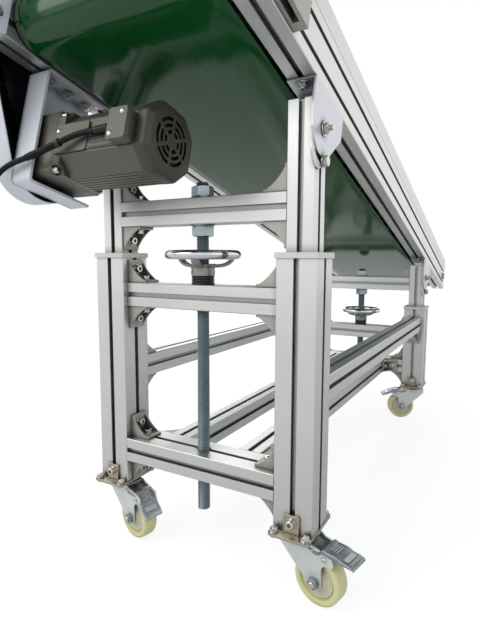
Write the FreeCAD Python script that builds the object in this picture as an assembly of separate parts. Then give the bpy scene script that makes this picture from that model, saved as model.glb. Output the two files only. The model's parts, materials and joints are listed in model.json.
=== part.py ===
import FreeCAD, Part
import math
import os

# Portable belt conveyor on a wheeled stand of slotted aluminium profile.
# Millimetres. X across the belt, Y along it from the drive end to the tail end, Z up, floor at Z 0.
# The stand is drawn about the middle of its front legs, and all is moved to the middle of the box at the end.

V = FreeCAD.Vector

# Stand
post_spacing = 340.0          # between the legs' centres, across
wheelbase = 911.0             # between the legs' centres, front to rear
post_foot = 105.0             # underside of the legs above the floor
outer_size = 60.0             # square outer leg
inner_size = 40.0             # square inner leg that slides in it
leg_clearance = 0.5           # each side of the inner leg
front_outer_length = 387.0
rear_outer_length = 235.5
front_inner_reach = 208.2     # inner leg above the outer leg, at rest
rear_inner_reach = 131.7
inner_overlap = 190.0         # inner leg inside the outer leg, at rest
cap_thickness = 8.0
cap_overhang = 2.25
cap_clearance = 0.4
bar_size = 40.0               # square bars
low_bar_depth = 60.0          # the low bars across are as deep as the legs
low_bar_height = 38.0         # undersides of the bars above the legs' feet
mid_bar_drop_front = 41.0     # top of the handwheel's bar below the outer leg's top
mid_bar_drop_rear = 59.5
top_bar_rise_front = 51.0     # underside of the bar between the inner legs, above the outer leg
top_bar_drop_rear = 36.2      # top of that bar at the rear, below the inner leg's top
high_beam_height = 172.0      # underside of the side beams above the legs' feet
low_beam_spacing = 136.0      # between the centres of the two low beams

# Slotted profile section
slot_mouth = 8.0
slot_lip = 2.5
slot_width = 15.0
slot_depth = 6.5
edge_chamfer = 1.0

# Corner brackets
bracket_leg = 37.5
bracket_width = 34.0
bracket_plate = 4.0
bracket_cheek = 3.0
bracket_toe = 9.0

# Lifting screws
screw_radius = 10.0
screw_clearance = 0.4
screw_foot = 83.0             # lower end above the floor
screw_above_nut = 5.0
nut_across = 30.0
nut_height = 16.0
washer_radius = 18.5
washer_thickness = 3.0
bar_bore_radius = 11.5
bearing_radius = 18.0
bearing_height = 13.0
hub_radius = 19.0
hub_height = 19.0
hub_flange_radius = 22.0
hub_flange = 4.0
rim_radius = 54.0
rim_tube = 6.0
rim_height = 34.0
rim_sides = 12               # flats round the rim's section
spoke_count = 3
spoke_width = 13.0
spoke_thickness = 5.0
spoke_first = 50.0            # degrees from +X

# Casters
wheel_radius = 37.5
wheel_width = 26.0
wheel_bore_radius = 6.5
wheel_hub_radius = 15.0
wheel_web_radius = 26.0
wheel_groove = 3.5
tread_round = 4.5
axle_radius = 6.0
trail = 37.0                  # wheel's centre from the swivel's centre
mount_width = 64.0
mount_length = 96.0
mount_thickness = 4.0
tongue_width = 24.0
tongue_height = 27.0
race_radius = 24.0
race_height = 6.0
race_gap = 0.5
fork_gap = 2.0                # between the wheel and each fork side
fork_sheet = 3.0
crown_half = 27.0
pedal_length = 68.0
pedal_width = 36.0
pedal_sheet = 3.0

# Bed, drawn level along the belt and tilted at the end to lie on both pairs of pivots
pivot_to_rail = 52.2          # pivot bolts to the rail's underside, square to it
rail_width = 40.0
rail_depth = 80.0
rail_spacing = 344.0          # between the rails' centres
rail_start = -262.0           # drive end of the rails, along the belt from the front legs
rail_end = 1392.0
guard_height = 30.5           # side guard above the rail
guard_thickness = 10.0
belt_width = 293.0
belt_thickness = 2.0
drive_roller_radius = 38.0
drive_roller_at = -182.0
tail_roller_at = 1346.0
tail_roller_radius = 38.0
return_sag = 5.0
bed_plate_thickness = 3.0
bed_plate_ends = 14.0         # bed plate's clearance to the rollers
cross_bar_places = (60.0, 420.0, 780.0, 1140.0)
shaft_radius = 10.0
shaft_slot_reach = 12.0         # each way along the rail from the shaft
shaft_slot_clearance = 0.5
core_radius = 3.4             # tapped core of the profile, open at the rails' ends
core_depth = 25.0
end_plate_thickness = 5.0
end_plate_length = 36.0
end_slot_width = 9.0          # oval holes of the end plates, one over each slot of the rail
end_slot_length = 20.0

# Swivel plates between rails and inner legs
plate_thickness = 3.0
plate_gap = 0.5               # to the leg's outer face
plate_top = 113.0
plate_top_back = 42.0         # of plate_top, on the drive end's side of the pivot
pivot_drop = 37.5             # pivot bolt below the inner leg's top
lock_radius = 42.0            # arc slot's radius about the pivot bolt
arc_half_angle = 52.0
pivot_bolt_radius = 3.9
bolt_reach = 6.0              # shank inside the leg's slot
arc_slot_clearance = 0.6
pivot_hole_clearance = 0.5    # play of the pivot bolts in the swivel plates
bolt_end_clearance = 0.1      # rear bolts' ends to the leg's face
bolt_head_across = 17.0
bolt_head_height = 7.0
head_gap = 0.3                # between a bolt's head and the plate it lets turn
slide_gap = 0.3               # rear plates' flanges under the rails
nut_strip_length = 60.0       # nuts that slide in the rails' lower slots
nut_strip_clearance = 0.3

# Drive
motor_at = -103.0             # motor shaft along the belt
motor_below = 107.7           # and below the rail's underside
motor_size = 90.0
gearbox_length = 62.0
adaptor_length = 16.0
motor_length = 128.0
fan_length = 21.0
grille_rings = ((10.0, 14.5), (18.0, 22.5), (26.0, 30.5))   # inner and outer radius of each ring of openings
grille_bars = 3               # bars across the rings
grille_bar_width = 5.0
grille_depth = 4.0
gearbox_corner = 5.0
motor_corner = 23.0
pocket_radius = 11.0
output_radius = 7.5
output_reach = 34.0           # motor shaft beyond the bracket's web
cover_start = 66.0            # terminal cover, from the gearbox's mounting face
cover_length = 62.0
cover_proud = 3.0
cover_height = 40.0
groove_count = 4              # grooves along the cover, under its notch
groove_pitch = 5.5
groove_width = 2.5
groove_depth = 1.8
box_start = 176.0             # raised part of the cover
box_length = 30.0
box_proud = 17.0
bracket_sheet = 4.0
bracket_front = -157.0
bracket_back = -50.0
bracket_drop = 165.0
guard_sheet = 2.0
guard_motor_radius = 58.0
guard_roller_radius = 50.0
guard_depth = 42.0
sprocket_radius = 25.0
sprocket_width = 7.0
chain_half_width = 4.5
chain_pitch = 12.7
chain_outer = (4.5, 3.2)      # link plates beyond the pitch line at their pins, and halfway between them
chain_inner = (2.9, 1.8)      # and inside it, where the sprockets carry them
block_length = 52.0
block_height = 44.0
block_depth = 18.0

# Motor lead: points by hand, in millimetres from the tip of its gland
lead_radius = 3.75
gland_length = 28.0
gland_radius = 5.5
gland_tip_radius = 4.6
connector_radius = 8.5
connector_length = 26.0
nose_radius = 6.5
nose_length = 12.0
lead_route = (
    (0.0, 0.0, 0.0),
    (-22.0, 0.0, 0.0),
    (-44.0, -3.5, -4.5),
    (-66.0, -9.0, -12.5),
    (-90.0, -13.5, -20.0),
    (-116.0, -16.0, -26.0),
    (-142.0, -17.5, -31.0),
    (-163.0, -19.0, -41.0),
    (-177.0, -20.0, -59.0),
    (-183.0, -20.0, -88.0),
    (-186.0, -19.0, -122.0),
    (-188.5, -17.0, -162.0),
    (-192.0, -16.0, -208.0),
    (-194.0, -16.5, -258.0),
    (-197.0, -15.0, -310.0),
    (-200.5, -12.5, -362.0),
    (-202.0, -12.0, -414.0),
)

leg_x = post_spacing / 2
front_top = post_foot + front_outer_length
rear_top = post_foot + rear_outer_length
leg_places = [(-leg_x, 0.0), (leg_x, 0.0), (-leg_x, wheelbase), (leg_x, wheelbase)]
front_inner_top = front_top + front_inner_reach
rear_inner_top = rear_top + rear_inner_reach
front_pivot_height = front_inner_top - pivot_drop
rear_pivot_height = rear_inner_top - pivot_drop
mid_bar_front = front_top - mid_bar_drop_front - bar_size
mid_bar_rear = rear_top - mid_bar_drop_rear - bar_size
top_bar_front = front_top + top_bar_rise_front
top_bar_rear = rear_inner_top - top_bar_drop_rear - bar_size
bed_tilt = math.atan2(front_pivot_height - rear_pivot_height, wheelbase)
rail_x = rail_spacing / 2
rail_base = front_pivot_height + pivot_to_rail / math.cos(bed_tilt)


def box(low, high):
    return Part.makeBox(high[0] - low[0], high[1] - low[1], high[2] - low[2], V(*low))


def cylinder(centre, direction, radius, height):
    return Part.makeCylinder(radius, height, V(*centre), V(*direction))


def hexagon(centre, direction, across, height):
    corner = across / math.sqrt(3)
    z = V(*direction).normalize()
    x = V(1, 0, 0) if abs(z.x) < 0.9 else V(0, 1, 0)
    y = z.cross(x).normalize()
    x = y.cross(z)
    points = [V(*centre) + x * (corner * math.cos(a)) + y * (corner * math.sin(a))
              for a in (math.radians(60 * k) for k in range(6))]
    return prism(points, z * height)


def prism(points, sweep):
    wire = Part.makePolygon(points + [points[0]])
    return Part.Face(wire).extrude(sweep)


def fused(shapes):
    result = shapes[0]
    for shape in shapes[1:]:
        result = result.fuse(shape)
    return result.removeSplitter()


def arc(start, middle, end):
    return Part.Arc(V(*start), V(*middle), V(*end)).toShape()


# Slotted profile: each face has one slot, or one per 40 mm on a face over 60 mm
def slot_centres(length):
    count = 1 if length <= outer_size else round(length / bar_size)
    return [length * (k + 0.5) / count for k in range(count)]


def side_points(start, along, inward, length):
    lip, wide = slot_mouth / 2, slot_width / 2
    steps = ((-lip, 0), (-lip, slot_lip), (-wide, slot_lip), (-wide, slot_depth),
             (wide, slot_depth), (wide, slot_lip), (lip, slot_lip), (lip, 0))
    points = [start + along * edge_chamfer]
    for centre in slot_centres(length):
        points += [start + along * (centre + a) + inward * d for a, d in steps]
    points.append(start + along * (length - edge_chamfer))
    return points


def section(width, height):
    x, y = V(1, 0, 0), V(0, 1, 0)
    w, h = width / 2, height / 2
    return (side_points(V(-w, -h, 0), x, y, width) + side_points(V(w, -h, 0), y, -x, height)
            + side_points(V(w, h, 0), -x, -y, width) + side_points(V(-w, h, 0), -y, x, height))


def slotted_bar(low, high, axis):
    """A bar of slotted profile that fills the box from low to high, its length along axis 0, 1 or 2."""
    a, b = (axis + 1) % 3, (axis + 2) % 3
    solid = prism(section(high[a] - low[a], high[b] - low[b]), V(0, 0, high[axis] - low[axis]))
    unit = [V(1, 0, 0), V(0, 1, 0), V(0, 0, 1)]
    centre = [(p + q) / 2 for p, q in zip(low, high)]
    centre[axis] = low[axis]
    solid.Placement = frame_placement(V(*centre), unit[a], unit[b])
    return solid


def frame_placement(origin, x, y):
    z = x.cross(y)
    return FreeCAD.Placement(FreeCAD.Matrix(x.x, y.x, z.x, origin.x, x.y, y.y, z.y, origin.y,
                                            x.z, y.z, z.z, origin.z, 0, 0, 0, 1))


# Die-cast corner bracket: two plates, two cheeks, open between the cheeks
def corner_bracket(corner, u, v, leg=bracket_leg):
    half = bracket_width / 2
    outline = [V(0, 0, -half), V(leg, 0, -half), V(leg, bracket_toe, -half),
               V(bracket_toe, leg, -half), V(0, leg, -half)]
    body = prism(outline, V(0, 0, bracket_width))
    inside = half - bracket_cheek
    body = body.cut(box((bracket_plate, bracket_plate, -inside), (leg + 1, leg + 1, inside)))
    body.Placement = frame_placement(V(*corner), V(*u), V(*v))
    return body


def outer_leg(x, y, length):
    half = outer_size / 2
    bore = inner_size / 2 + leg_clearance
    leg = slotted_bar((x - half, y - half, post_foot), (x + half, y + half, post_foot + length), 2)
    return leg.cut(box((x - bore, y - bore, post_foot - 1), (x + bore, y + bore, post_foot + length + 1)))


def inner_leg(x, y, top, reach):
    half = inner_size / 2
    return slotted_bar((x - half, y - half, top - reach - inner_overlap), (x + half, y + half, top), 2)


def leg_cap(x, y, top):
    half = outer_size / 2 + cap_overhang
    bore = inner_size / 2 + cap_clearance
    plate = box((x - half, y - half, top), (x + half, y + half, top + cap_thickness))
    return plate.cut(box((x - bore, y - bore, top - 1), (x + bore, y + bore, top + cap_thickness + 1)))


def cross_bar(y, base, reach, depth):
    bar = slotted_bar((-reach, y - depth / 2, base), (reach, y + depth / 2, base + bar_size), 0)
    return bar.cut(cylinder((0, y, base - 1), (0, 0, 1), bar_bore_radius, bar_size + 2))


def side_beams(x, base):
    start = outer_size / 2
    return [slotted_bar((s * x - bar_size / 2, start, base),
                        (s * x + bar_size / 2, wheelbase - start, base + bar_size), 1) for s in (-1, 1)]


# Stand: which bars carry a bracket above or below at each leg
def stand_brackets():
    face = leg_x - outer_size / 2
    rows = [  # leg row's y, underside of the bar, bracket above, bracket below
        (0.0, post_foot + low_bar_height, True, True),
        (0.0, mid_bar_front, True, True),
        (wheelbase, post_foot + low_bar_height, True, True),
        (wheelbase, mid_bar_rear, True, False),
    ]
    parts = []
    for y, base, above, below in rows:
        for side in (-1, 1):
            inward = (-side, 0, 0)
            if above:
                parts.append(corner_bracket((side * face, y, base + bar_size), inward, (0, 0, 1)))
            if below:
                parts.append(corner_bracket((side * face, y, base), inward, (0, 0, -1)))
    return parts


def beam_brackets():
    parts = []
    base = post_foot + high_beam_height
    rows = ((outer_size / 2, 1, True), (wheelbase - outer_size / 2, -1, False))  # leg's face, outward, bracket above
    for y, outward, above in rows:
        for side in (-1, 1):
            along = (0, outward, 0)
            if above:
                parts.append(corner_bracket((side * leg_x, y, base + bar_size), along, (0, 0, 1)))
            parts.append(corner_bracket((side * leg_x, y, base), along, (0, 0, -1)))
            beam_side = side * (low_beam_spacing / 2 + bar_size / 2)
            middle = post_foot + low_bar_height + bar_size / 2
            parts.append(corner_bracket((beam_side, y, middle), along, (side, 0, 0)))
    return parts


def frame_brackets(y, base, with_lower):
    face = leg_x - inner_size / 2
    parts = []
    for side in (-1, 1):
        inward = (-side, 0, 0)
        parts.append(corner_bracket((side * face, y, base + bar_size), inward, (0, 0, 1)))
        if with_lower:
            parts.append(corner_bracket((side * face, y, base), inward, (0, 0, -1)))
    return parts


def lifting_screw(y, bar_base):
    bar_top = bar_base + bar_size
    pieces = [cylinder((0, y, screw_foot), (0, 0, 1), screw_radius,
                       bar_top + washer_thickness + nut_height + screw_above_nut - screw_foot)]
    for start, direction in ((bar_top, 1), (bar_base, -1)):
        pieces.append(cylinder((0, y, start), (0, 0, direction), washer_radius, washer_thickness))
        pieces.append(hexagon((0, y, start + direction * washer_thickness), (0, 0, direction),
                              nut_across, nut_height))
    return fused(pieces)


def thrust_bearing(y, base):
    gap = 0.8
    bore = screw_radius + 1.5
    ring = (bearing_height - gap) / 2
    low = cylinder((0, y, base), (0, 0, 1), bearing_radius, ring)
    high = cylinder((0, y, base + ring), (0, 0, 1), bearing_radius - 1.5, gap)
    top = cylinder((0, y, base + ring + gap), (0, 0, 1), bearing_radius, ring - 0.3)
    hole = cylinder((0, y, base - 1), (0, 0, 1), bore, bearing_height + 2)
    return fused([low, high, top]).cut(hole)


def handwheel(y, base):
    """Dished handwheel whose hub is the nut of the lifting screw; base is the bearing's top."""
    centre = V(0, y, base)
    turns = [2 * math.pi * (k + 0.5) / rim_sides for k in range(rim_sides)]
    ring = [V(rim_radius + rim_tube * math.cos(a), 0, rim_height + rim_tube * math.sin(a)) for a in turns]
    rim = Part.Face(Part.makePolygon(ring + [ring[0]])).revolve(V(0, 0, 0), V(0, 0, 1), 360)
    hub = cylinder((0, 0, 0), (0, 0, 1), hub_radius, hub_height)
    flange = cylinder((0, 0, hub_height - hub_flange), (0, 0, 1), hub_flange_radius, hub_flange)
    pieces = [rim, hub, flange] + [spoke(spoke_first + 360 * k / spoke_count) for k in range(spoke_count)]
    wheel = fused(pieces).cut(cylinder((0, 0, -1), (0, 0, 1), screw_radius + screw_clearance, hub_height + 2))
    wheel.translate(centre)
    return wheel


def spoke(angle):
    """Flat strap that leaves the hub level and curves up into the rim."""
    inner, outer = hub_radius - 3, rim_radius - 1
    low, high = hub_height - hub_flange, rim_height - spoke_thickness / 2
    t, half = spoke_thickness, spoke_width / 2
    bend = outer - 12
    under = Part.Arc(V(inner, -half, low), V(bend, -half, low + 2.5), V(outer, -half, high)).toShape()
    over = Part.Arc(V(outer, -half, high + t), V(bend - 3, -half, low + 3 + t), V(inner, -half, low + t)).toShape()
    wire = Part.Wire([under, Part.makeLine(V(outer, -half, high), V(outer, -half, high + t)), over,
                      Part.makeLine(V(inner, -half, low + t), V(inner, -half, low))])
    strap = Part.Face(wire).extrude(V(0, spoke_width, 0))
    strap.rotate(V(0, 0, 0), V(0, 0, 1), angle)
    return strap


# Casters: (name, x, y, heading of the wheel from the swivel, pedal)
caster_table = (
    ("front_left", -leg_x, 0.0, -14.0, True),
    ("front_right", leg_x, 0.0, -12.0, True),
    ("rear_left", -leg_x, wheelbase, 170.0, True),
    ("rear_right", leg_x, wheelbase, 205.0, True),
)


def caster_mount(x, y):
    half_w, half_l = mount_width / 2, mount_length / 2
    low = post_foot - mount_thickness
    plate = box((x - half_w, y - half_l, low), (x + half_w, y + half_l, post_foot))
    race = cylinder((x, y, low - race_height), (0, 0, 1), race_radius, race_height)
    pieces = [plate, race]
    face = outer_size / 2
    for side in (-1, 1):
        y_a, y_b = sorted((y + side * face, y + side * (face + mount_thickness)))
        pieces.append(box((x - tongue_width / 2, y_a, post_foot),
                          (x + tongue_width / 2, y_b, post_foot + tongue_height)))
    return fused(pieces)


def caster_frame(x, y, heading):
    """Places a shape drawn with the wheel ahead of the swivel along +X."""
    turn = FreeCAD.Rotation(V(0, 0, 1), heading)
    return FreeCAD.Placement(V(x, y, 0), turn)


def caster_fork(pedal):
    inner = wheel_width / 2 + fork_gap
    outer = inner + fork_sheet
    top = post_foot - mount_thickness - race_height - race_gap
    shoulder = 2 * wheel_radius + 3
    side = [V(-crown_half, -outer, top), V(-crown_half, -outer, shoulder),
            V(trail - 12, -outer, wheel_radius - 8), V(trail, -outer, wheel_radius - 11),
            V(trail + 10, -outer, wheel_radius - 4), V(trail + 9, -outer, wheel_radius + 14),
            V(trail - 2, -outer, wheel_radius + 24), V(trail + 8, -outer, wheel_radius + 34),
            V(trail + 24, -outer, wheel_radius + 36), V(trail + 26, -outer, top - 8), V(crown_half, -outer, top)]
    cheek = prism(side, V(0, fork_sheet, 0))
    other = cheek.copy()
    other.translate(V(0, 2 * outer - fork_sheet, 0))
    crown = box((-crown_half, -outer, top - fork_sheet), (crown_half, outer, top))
    axle = cylinder((trail, -outer - 8, wheel_radius), (0, 1, 0), axle_radius, 2 * outer + 14)
    head = hexagon((trail, -outer, wheel_radius), (0, -1, 0), 14.0, 6.0)
    nut = hexagon((trail, outer, wheel_radius), (0, 1, 0), 14.0, 6.0)
    return fused([cheek, other, crown, axle, head, nut] + ([brake_pedal()] if pedal else []))


def caster_wheel():
    half = wheel_width / 2
    groove = half - wheel_groove
    profile = [(wheel_bore_radius, half), (wheel_hub_radius, half), (wheel_hub_radius + 1, groove),
               (wheel_web_radius, groove), (wheel_web_radius + 2, half), (wheel_radius - tread_round, half),
               (wheel_radius, half - tread_round)]
    points = [V(r, -w, 0) for r, w in profile] + [V(r, w, 0) for r, w in reversed(profile)]
    face = Part.Face(Part.makePolygon(points + [points[0]]))
    wheel = face.revolve(V(0, 0, 0), V(0, 1, 0), 360)
    wheel.Placement = FreeCAD.Placement(V(trail, 0, wheel_radius), FreeCAD.Rotation())
    return wheel


def brake_pedal():
    top = post_foot - mount_thickness - race_height - race_gap
    start = crown_half - 1
    half = pedal_width / 2
    outline = [V(start, -half, top - 2), V(start + 26, -half, top - 8), V(start + 50, -half, top - 12),
               V(start + pedal_length, -half, top - 22), V(start + pedal_length, -half, top - 22 - pedal_sheet),
               V(start + 50, -half, top - 13 - pedal_sheet), V(start + 26, -half, top - 8 - pedal_sheet),
               V(start, -half, top - 2 - pedal_sheet)]
    return prism(outline, V(0, pedal_width, 0))


# Bed: drawn level with Y along the belt from the front legs and Z 0 at the rail's underside
bed_placement = FreeCAD.Placement(V(0, 0, rail_base), FreeCAD.Rotation(V(1, 0, 0), -math.degrees(bed_tilt)))


def tilted(shapes):
    return [shape.transformed(bed_placement.toMatrix()) for shape in shapes]


def on_bed(y, z):
    """A point of the stand, as its place along the belt and above the rail's underside."""
    point = bed_placement.inverse().multVec(V(0, y, z))
    return point.y, point.z


roller_height = rail_depth / 2


def rail(side):
    x = side * rail_x
    half = rail_width / 2
    bar = slotted_bar((x - half, rail_start, 0), (x + half, rail_end, rail_depth), 1)
    along, up = shaft_radius + shaft_slot_reach, shaft_radius + shaft_slot_clearance
    for place in (drive_roller_at, tail_roller_at):
        bar = bar.cut(box((x - half - 1, place - along, roller_height - up),
                          (x + half + 1, place + along, roller_height + up)))
    for end, inward in ((rail_start, 1), (rail_end, -1)):
        for height in slot_centres(rail_depth):
            bar = bar.cut(cylinder((x, end, height), (0, inward, 0), core_radius, core_depth))
    return bar


def side_guard(side):
    inner = rail_x + rail_width / 2 - guard_thickness
    y_a, y_b = rail_start, rail_end
    low, high = rail_depth, rail_depth + guard_height
    outline = [V(0, y_a, low), V(0, y_b, low), V(0, y_b, high - 10), V(0, y_b - 10, high),
               V(0, y_a, high)]
    guard = prism(outline, V(side * guard_thickness, 0, 0))
    guard.translate(V(side * inner, 0, 0))
    return guard


def belt():
    x = belt_width / 2
    d, t = drive_roller_at, tail_roller_at

    def loop(radius_d, radius_t):
        low_d, low_t = roller_height - radius_d, roller_height - radius_t
        middle = ((d + t) / 2, low_d - return_sag)
        edges = [
            Part.makeLine(V(-x, d, roller_height + radius_d), V(-x, t, roller_height + radius_t)),
            arc((-x, t, roller_height + radius_t), (-x, t + radius_t, roller_height), (-x, t, low_t)),
            arc((-x, t, low_t), (-x,) + middle, (-x, d, low_d)),
            arc((-x, d, low_d), (-x, d - radius_d, roller_height), (-x, d, roller_height + radius_d)),
        ]
        return Part.Face(Part.Wire(edges)).extrude(V(belt_width, 0, 0))

    outer = loop(drive_roller_radius + belt_thickness, tail_roller_radius + belt_thickness)
    inner = loop(drive_roller_radius, tail_roller_radius)
    return outer.cut(inner)


def roller(place, radius, reach_left):
    half = rail_x - rail_width / 2 - 2
    body = cylinder((-half, place, roller_height), (1, 0, 0), radius, 2 * half)
    left = rail_x + rail_width / 2 + reach_left
    right = rail_x + rail_width / 2 + 6
    shaft = cylinder((-left, place, roller_height), (1, 0, 0), shaft_radius, left + right)
    return fused([body, shaft])


def bed_plate():
    half = rail_x - rail_width / 2
    top = roller_height + drive_roller_radius
    start = drive_roller_at + drive_roller_radius + bed_plate_ends
    end = tail_roller_at - tail_roller_radius - bed_plate_ends
    return box((-half, start, top - bed_plate_thickness), (half, end, top))


def bed_cross_bars():
    half = rail_x - rail_width / 2
    top = roller_height + drive_roller_radius - bed_plate_thickness
    return [slotted_bar((-half, y - bar_size / 2, top - bar_size), (half, y + bar_size / 2, top), 0)
            for y in cross_bar_places]


def end_plate(side):
    x = rail_x - rail_width / 2
    low_y = rail_start
    high_y, top = low_y + end_plate_length, rail_depth + guard_height
    corner = [V(0, low_y, 0), V(0, high_y, 0), V(0, high_y, top), V(0, low_y, top)]
    plate = prism(corner, V(-side * end_plate_thickness, 0, 0))
    radius, straight = end_slot_width / 2, (end_slot_length - end_slot_width) / 2
    middle = low_y + end_plate_length / 2
    for height in slot_centres(rail_depth):
        across = V(-side * (end_plate_thickness + 2), 0, 0)
        start = V(side, middle, height)
        oval = [Part.Arc(start + V(0, s * straight, -s * radius), start + V(0, s * (straight + radius), 0),
                         start + V(0, s * straight, s * radius)).toShape() for s in (-1, 1)]
        sides = [Part.makeLine(start + V(0, -s * straight, s * radius), start + V(0, s * straight, s * radius))
                 for s in (-1, 1)]
        wire = Part.Wire(Part.__sortEdges__(oval + sides))
        plate = plate.cut(Part.Face(wire).extrude(across))
    plate.translate(V(side * x, 0, 0))
    return plate


def swivel_plate(side, pivot_y, pivot_z, gap):
    """Plate on the leg's outer face with a flange held under the rail, drawn on the bed."""
    x = leg_x + inner_size / 2 + plate_gap
    start, end = pivot_y - plate_top_back, pivot_y - plate_top_back + plate_top
    tip = lock_radius + 16
    round_off = 22.0
    down = V(0, -math.sin(bed_tilt), -math.cos(bed_tilt))
    ahead = V(0, math.cos(bed_tilt), -math.sin(bed_tilt))
    pivot = V(0, pivot_y, pivot_z)
    left = pivot + down * lock_radius - ahead * round_off
    right = pivot + down * lock_radius + ahead * round_off
    bottom = pivot + down * tip
    shoulder = pivot_z + 16
    edges = [
        Part.makeLine(V(0, start, -gap), V(0, end, -gap)),
        Part.makeLine(V(0, end, -gap), V(0, end, shoulder)),
        Part.makeLine(V(0, end, shoulder), right),
        Part.Arc(right, bottom, left).toShape(),
        Part.makeLine(left, V(0, start, shoulder)),
        Part.makeLine(V(0, start, shoulder), V(0, start, -gap)),
    ]
    plate = Part.Face(Part.Wire(edges)).extrude(V(plate_thickness, 0, 0))
    slot = arc_slot(pivot, down, ahead)
    plate = plate.cut(slot)
    plate = plate.cut(cylinder((-1, pivot_y, pivot_z), (1, 0, 0), pivot_bolt_radius + pivot_hole_clearance,
                               plate_thickness + 2))
    plate.translate(V(x, 0, 0))
    flange = box((rail_x - rail_width / 2, start, -gap - plate_thickness), (x + plate_thickness, end, -gap))
    whole = plate.fuse(flange).removeSplitter()
    if side < 0:
        whole = whole.mirror(V(0, 0, 0), V(1, 0, 0))
    return whole


def arc_slot(pivot, down, ahead):
    half = pivot_bolt_radius + arc_slot_clearance
    spread = math.radians(arc_half_angle)

    def at(radius, angle):
        return pivot + (down * math.cos(angle) + ahead * math.sin(angle)) * radius

    low, high = lock_radius - half, lock_radius + half
    edges = [
        Part.Arc(at(high, -spread), at(high, 0), at(high, spread)).toShape(),
        Part.Arc(at(high, spread), at(lock_radius, spread) + (at(1, spread + math.pi / 2) - pivot) * half,
                 at(low, spread)).toShape(),
        Part.Arc(at(low, spread), at(low, 0), at(low, -spread)).toShape(),
        Part.Arc(at(low, -spread), at(lock_radius, -spread) + (at(1, -spread - math.pi / 2) - pivot) * half,
                 at(high, -spread)).toShape(),
    ]
    face = Part.Face(Part.Wire(edges))
    face.translate(V(-1, 0, 0))
    return face.extrude(V(plate_thickness + 2, 0, 0))


def plate_bolts(y, z, depth):
    """Bolts through the swivel plates at a leg, heads outside; depth reaches into the leg's slot."""
    face = leg_x + inner_size / 2
    bolts = []
    for side in (-1, 1):
        out = (side, 0, 0)
        shank = cylinder((side * (face - depth), y, z), out, pivot_bolt_radius,
                         depth + plate_gap + plate_thickness + 1)
        head_at = side * (face + plate_gap + plate_thickness + head_gap)
        head = hexagon((head_at, y, z), out, bolt_head_across, bolt_head_height)
        bolts.append(fused([shank, head]))
    return bolts


def nut_strip(side, pivot_y):
    """Nut that slides in the rail's lower slot over the rear swivel plate."""
    half = slot_width / 2 - nut_strip_clearance
    low, high = slot_lip + nut_strip_clearance, slot_depth - nut_strip_clearance
    start = pivot_y - nut_strip_length / 2
    return box((side * rail_x - half, start, low), (side * rail_x + half, start + nut_strip_length, high))


def motor_bracket():
    """Sheet pan under the left rail: web outside, flanges turned in all round, open towards the motor."""
    outer = -(rail_x + rail_width / 2)
    inner = -(rail_x - rail_width / 2)
    shell = box((outer, bracket_front, -bracket_drop), (inner, bracket_back, 0))
    pocket = box((outer + bracket_sheet, bracket_front + bracket_sheet, -bracket_drop + bracket_sheet),
                 (inner + 1, bracket_back + 1, -bracket_sheet))
    shaft = cylinder((outer - 1, motor_at, -motor_below), (1, 0, 0), 16.0, bracket_sheet + 2)
    return shell.cut(pocket).cut(shaft)


def square_with_corners(centre_y, centre_z, size, corner):
    h, c = size / 2, corner
    flat = ((-h + c, -h), (h - c, -h), (h, -h + c), (h, h - c), (h - c, h), (-h + c, h), (-h, h - c), (-h, -h + c))
    return [V(0, centre_y + a, centre_z + b) for a, b in flat]


motor_face = -(rail_x + rail_width / 2) + bracket_sheet


def motor_block(start, length, size, corner):
    block = prism(square_with_corners(motor_at, -motor_below, size, corner), V(length, 0, 0))
    block.translate(V(start, 0, 0))
    return block


def gearbox():
    body = motor_block(motor_face, gearbox_length, motor_size, gearbox_corner)
    shaft = cylinder((motor_face - output_reach, motor_at, -motor_below), (1, 0, 0),
                     output_radius, output_reach + 1)
    return fused([body, shaft])


def motor_body():
    """Square flange with a pocket for a screw at each corner, then the eight-sided body."""
    start = motor_face + gearbox_length
    flange = motor_block(start, adaptor_length, motor_size, gearbox_corner)
    half = motor_size / 2
    for y, z in ((-half, -half), (half, -half), (half, half), (-half, half)):
        flange = flange.cut(cylinder((start + plate_thickness, motor_at + y, -motor_below + z), (1, 0, 0),
                                     pocket_radius, adaptor_length))
    body = motor_block(start + adaptor_length, motor_length, motor_size, motor_corner)
    return fused([flange, body])


def fan_cover():
    """Cap over the fan, its end open in rings that bars cross."""
    start = motor_face + gearbox_length + adaptor_length + motor_length
    cover = motor_block(start, fan_length, motor_size, motor_corner)
    end = [edge for edge in cover.Edges if abs(edge.BoundBox.XMin - start - fan_length) < 0.01]
    cover = cover.makeChamfer(fan_length * 0.35, end)
    floor = (start + fan_length - grille_depth, motor_at, -motor_below)
    for inner, outer in grille_rings:
        ring = cylinder(floor, (1, 0, 0), outer, grille_depth + 1).cut(
            cylinder(floor, (1, 0, 0), inner, grille_depth + 1))
        for k in range(grille_bars):
            bar = box((floor[0] - 1, motor_at - motor_size, -motor_below - grille_bar_width / 2),
                      (start + fan_length + 2, motor_at + motor_size, -motor_below + grille_bar_width / 2))
            bar.rotate(V(*floor), V(1, 0, 0), 180 * k / grille_bars + 30)
            ring = ring.cut(bar)
        cover = cover.cut(ring)
    return cover


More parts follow.
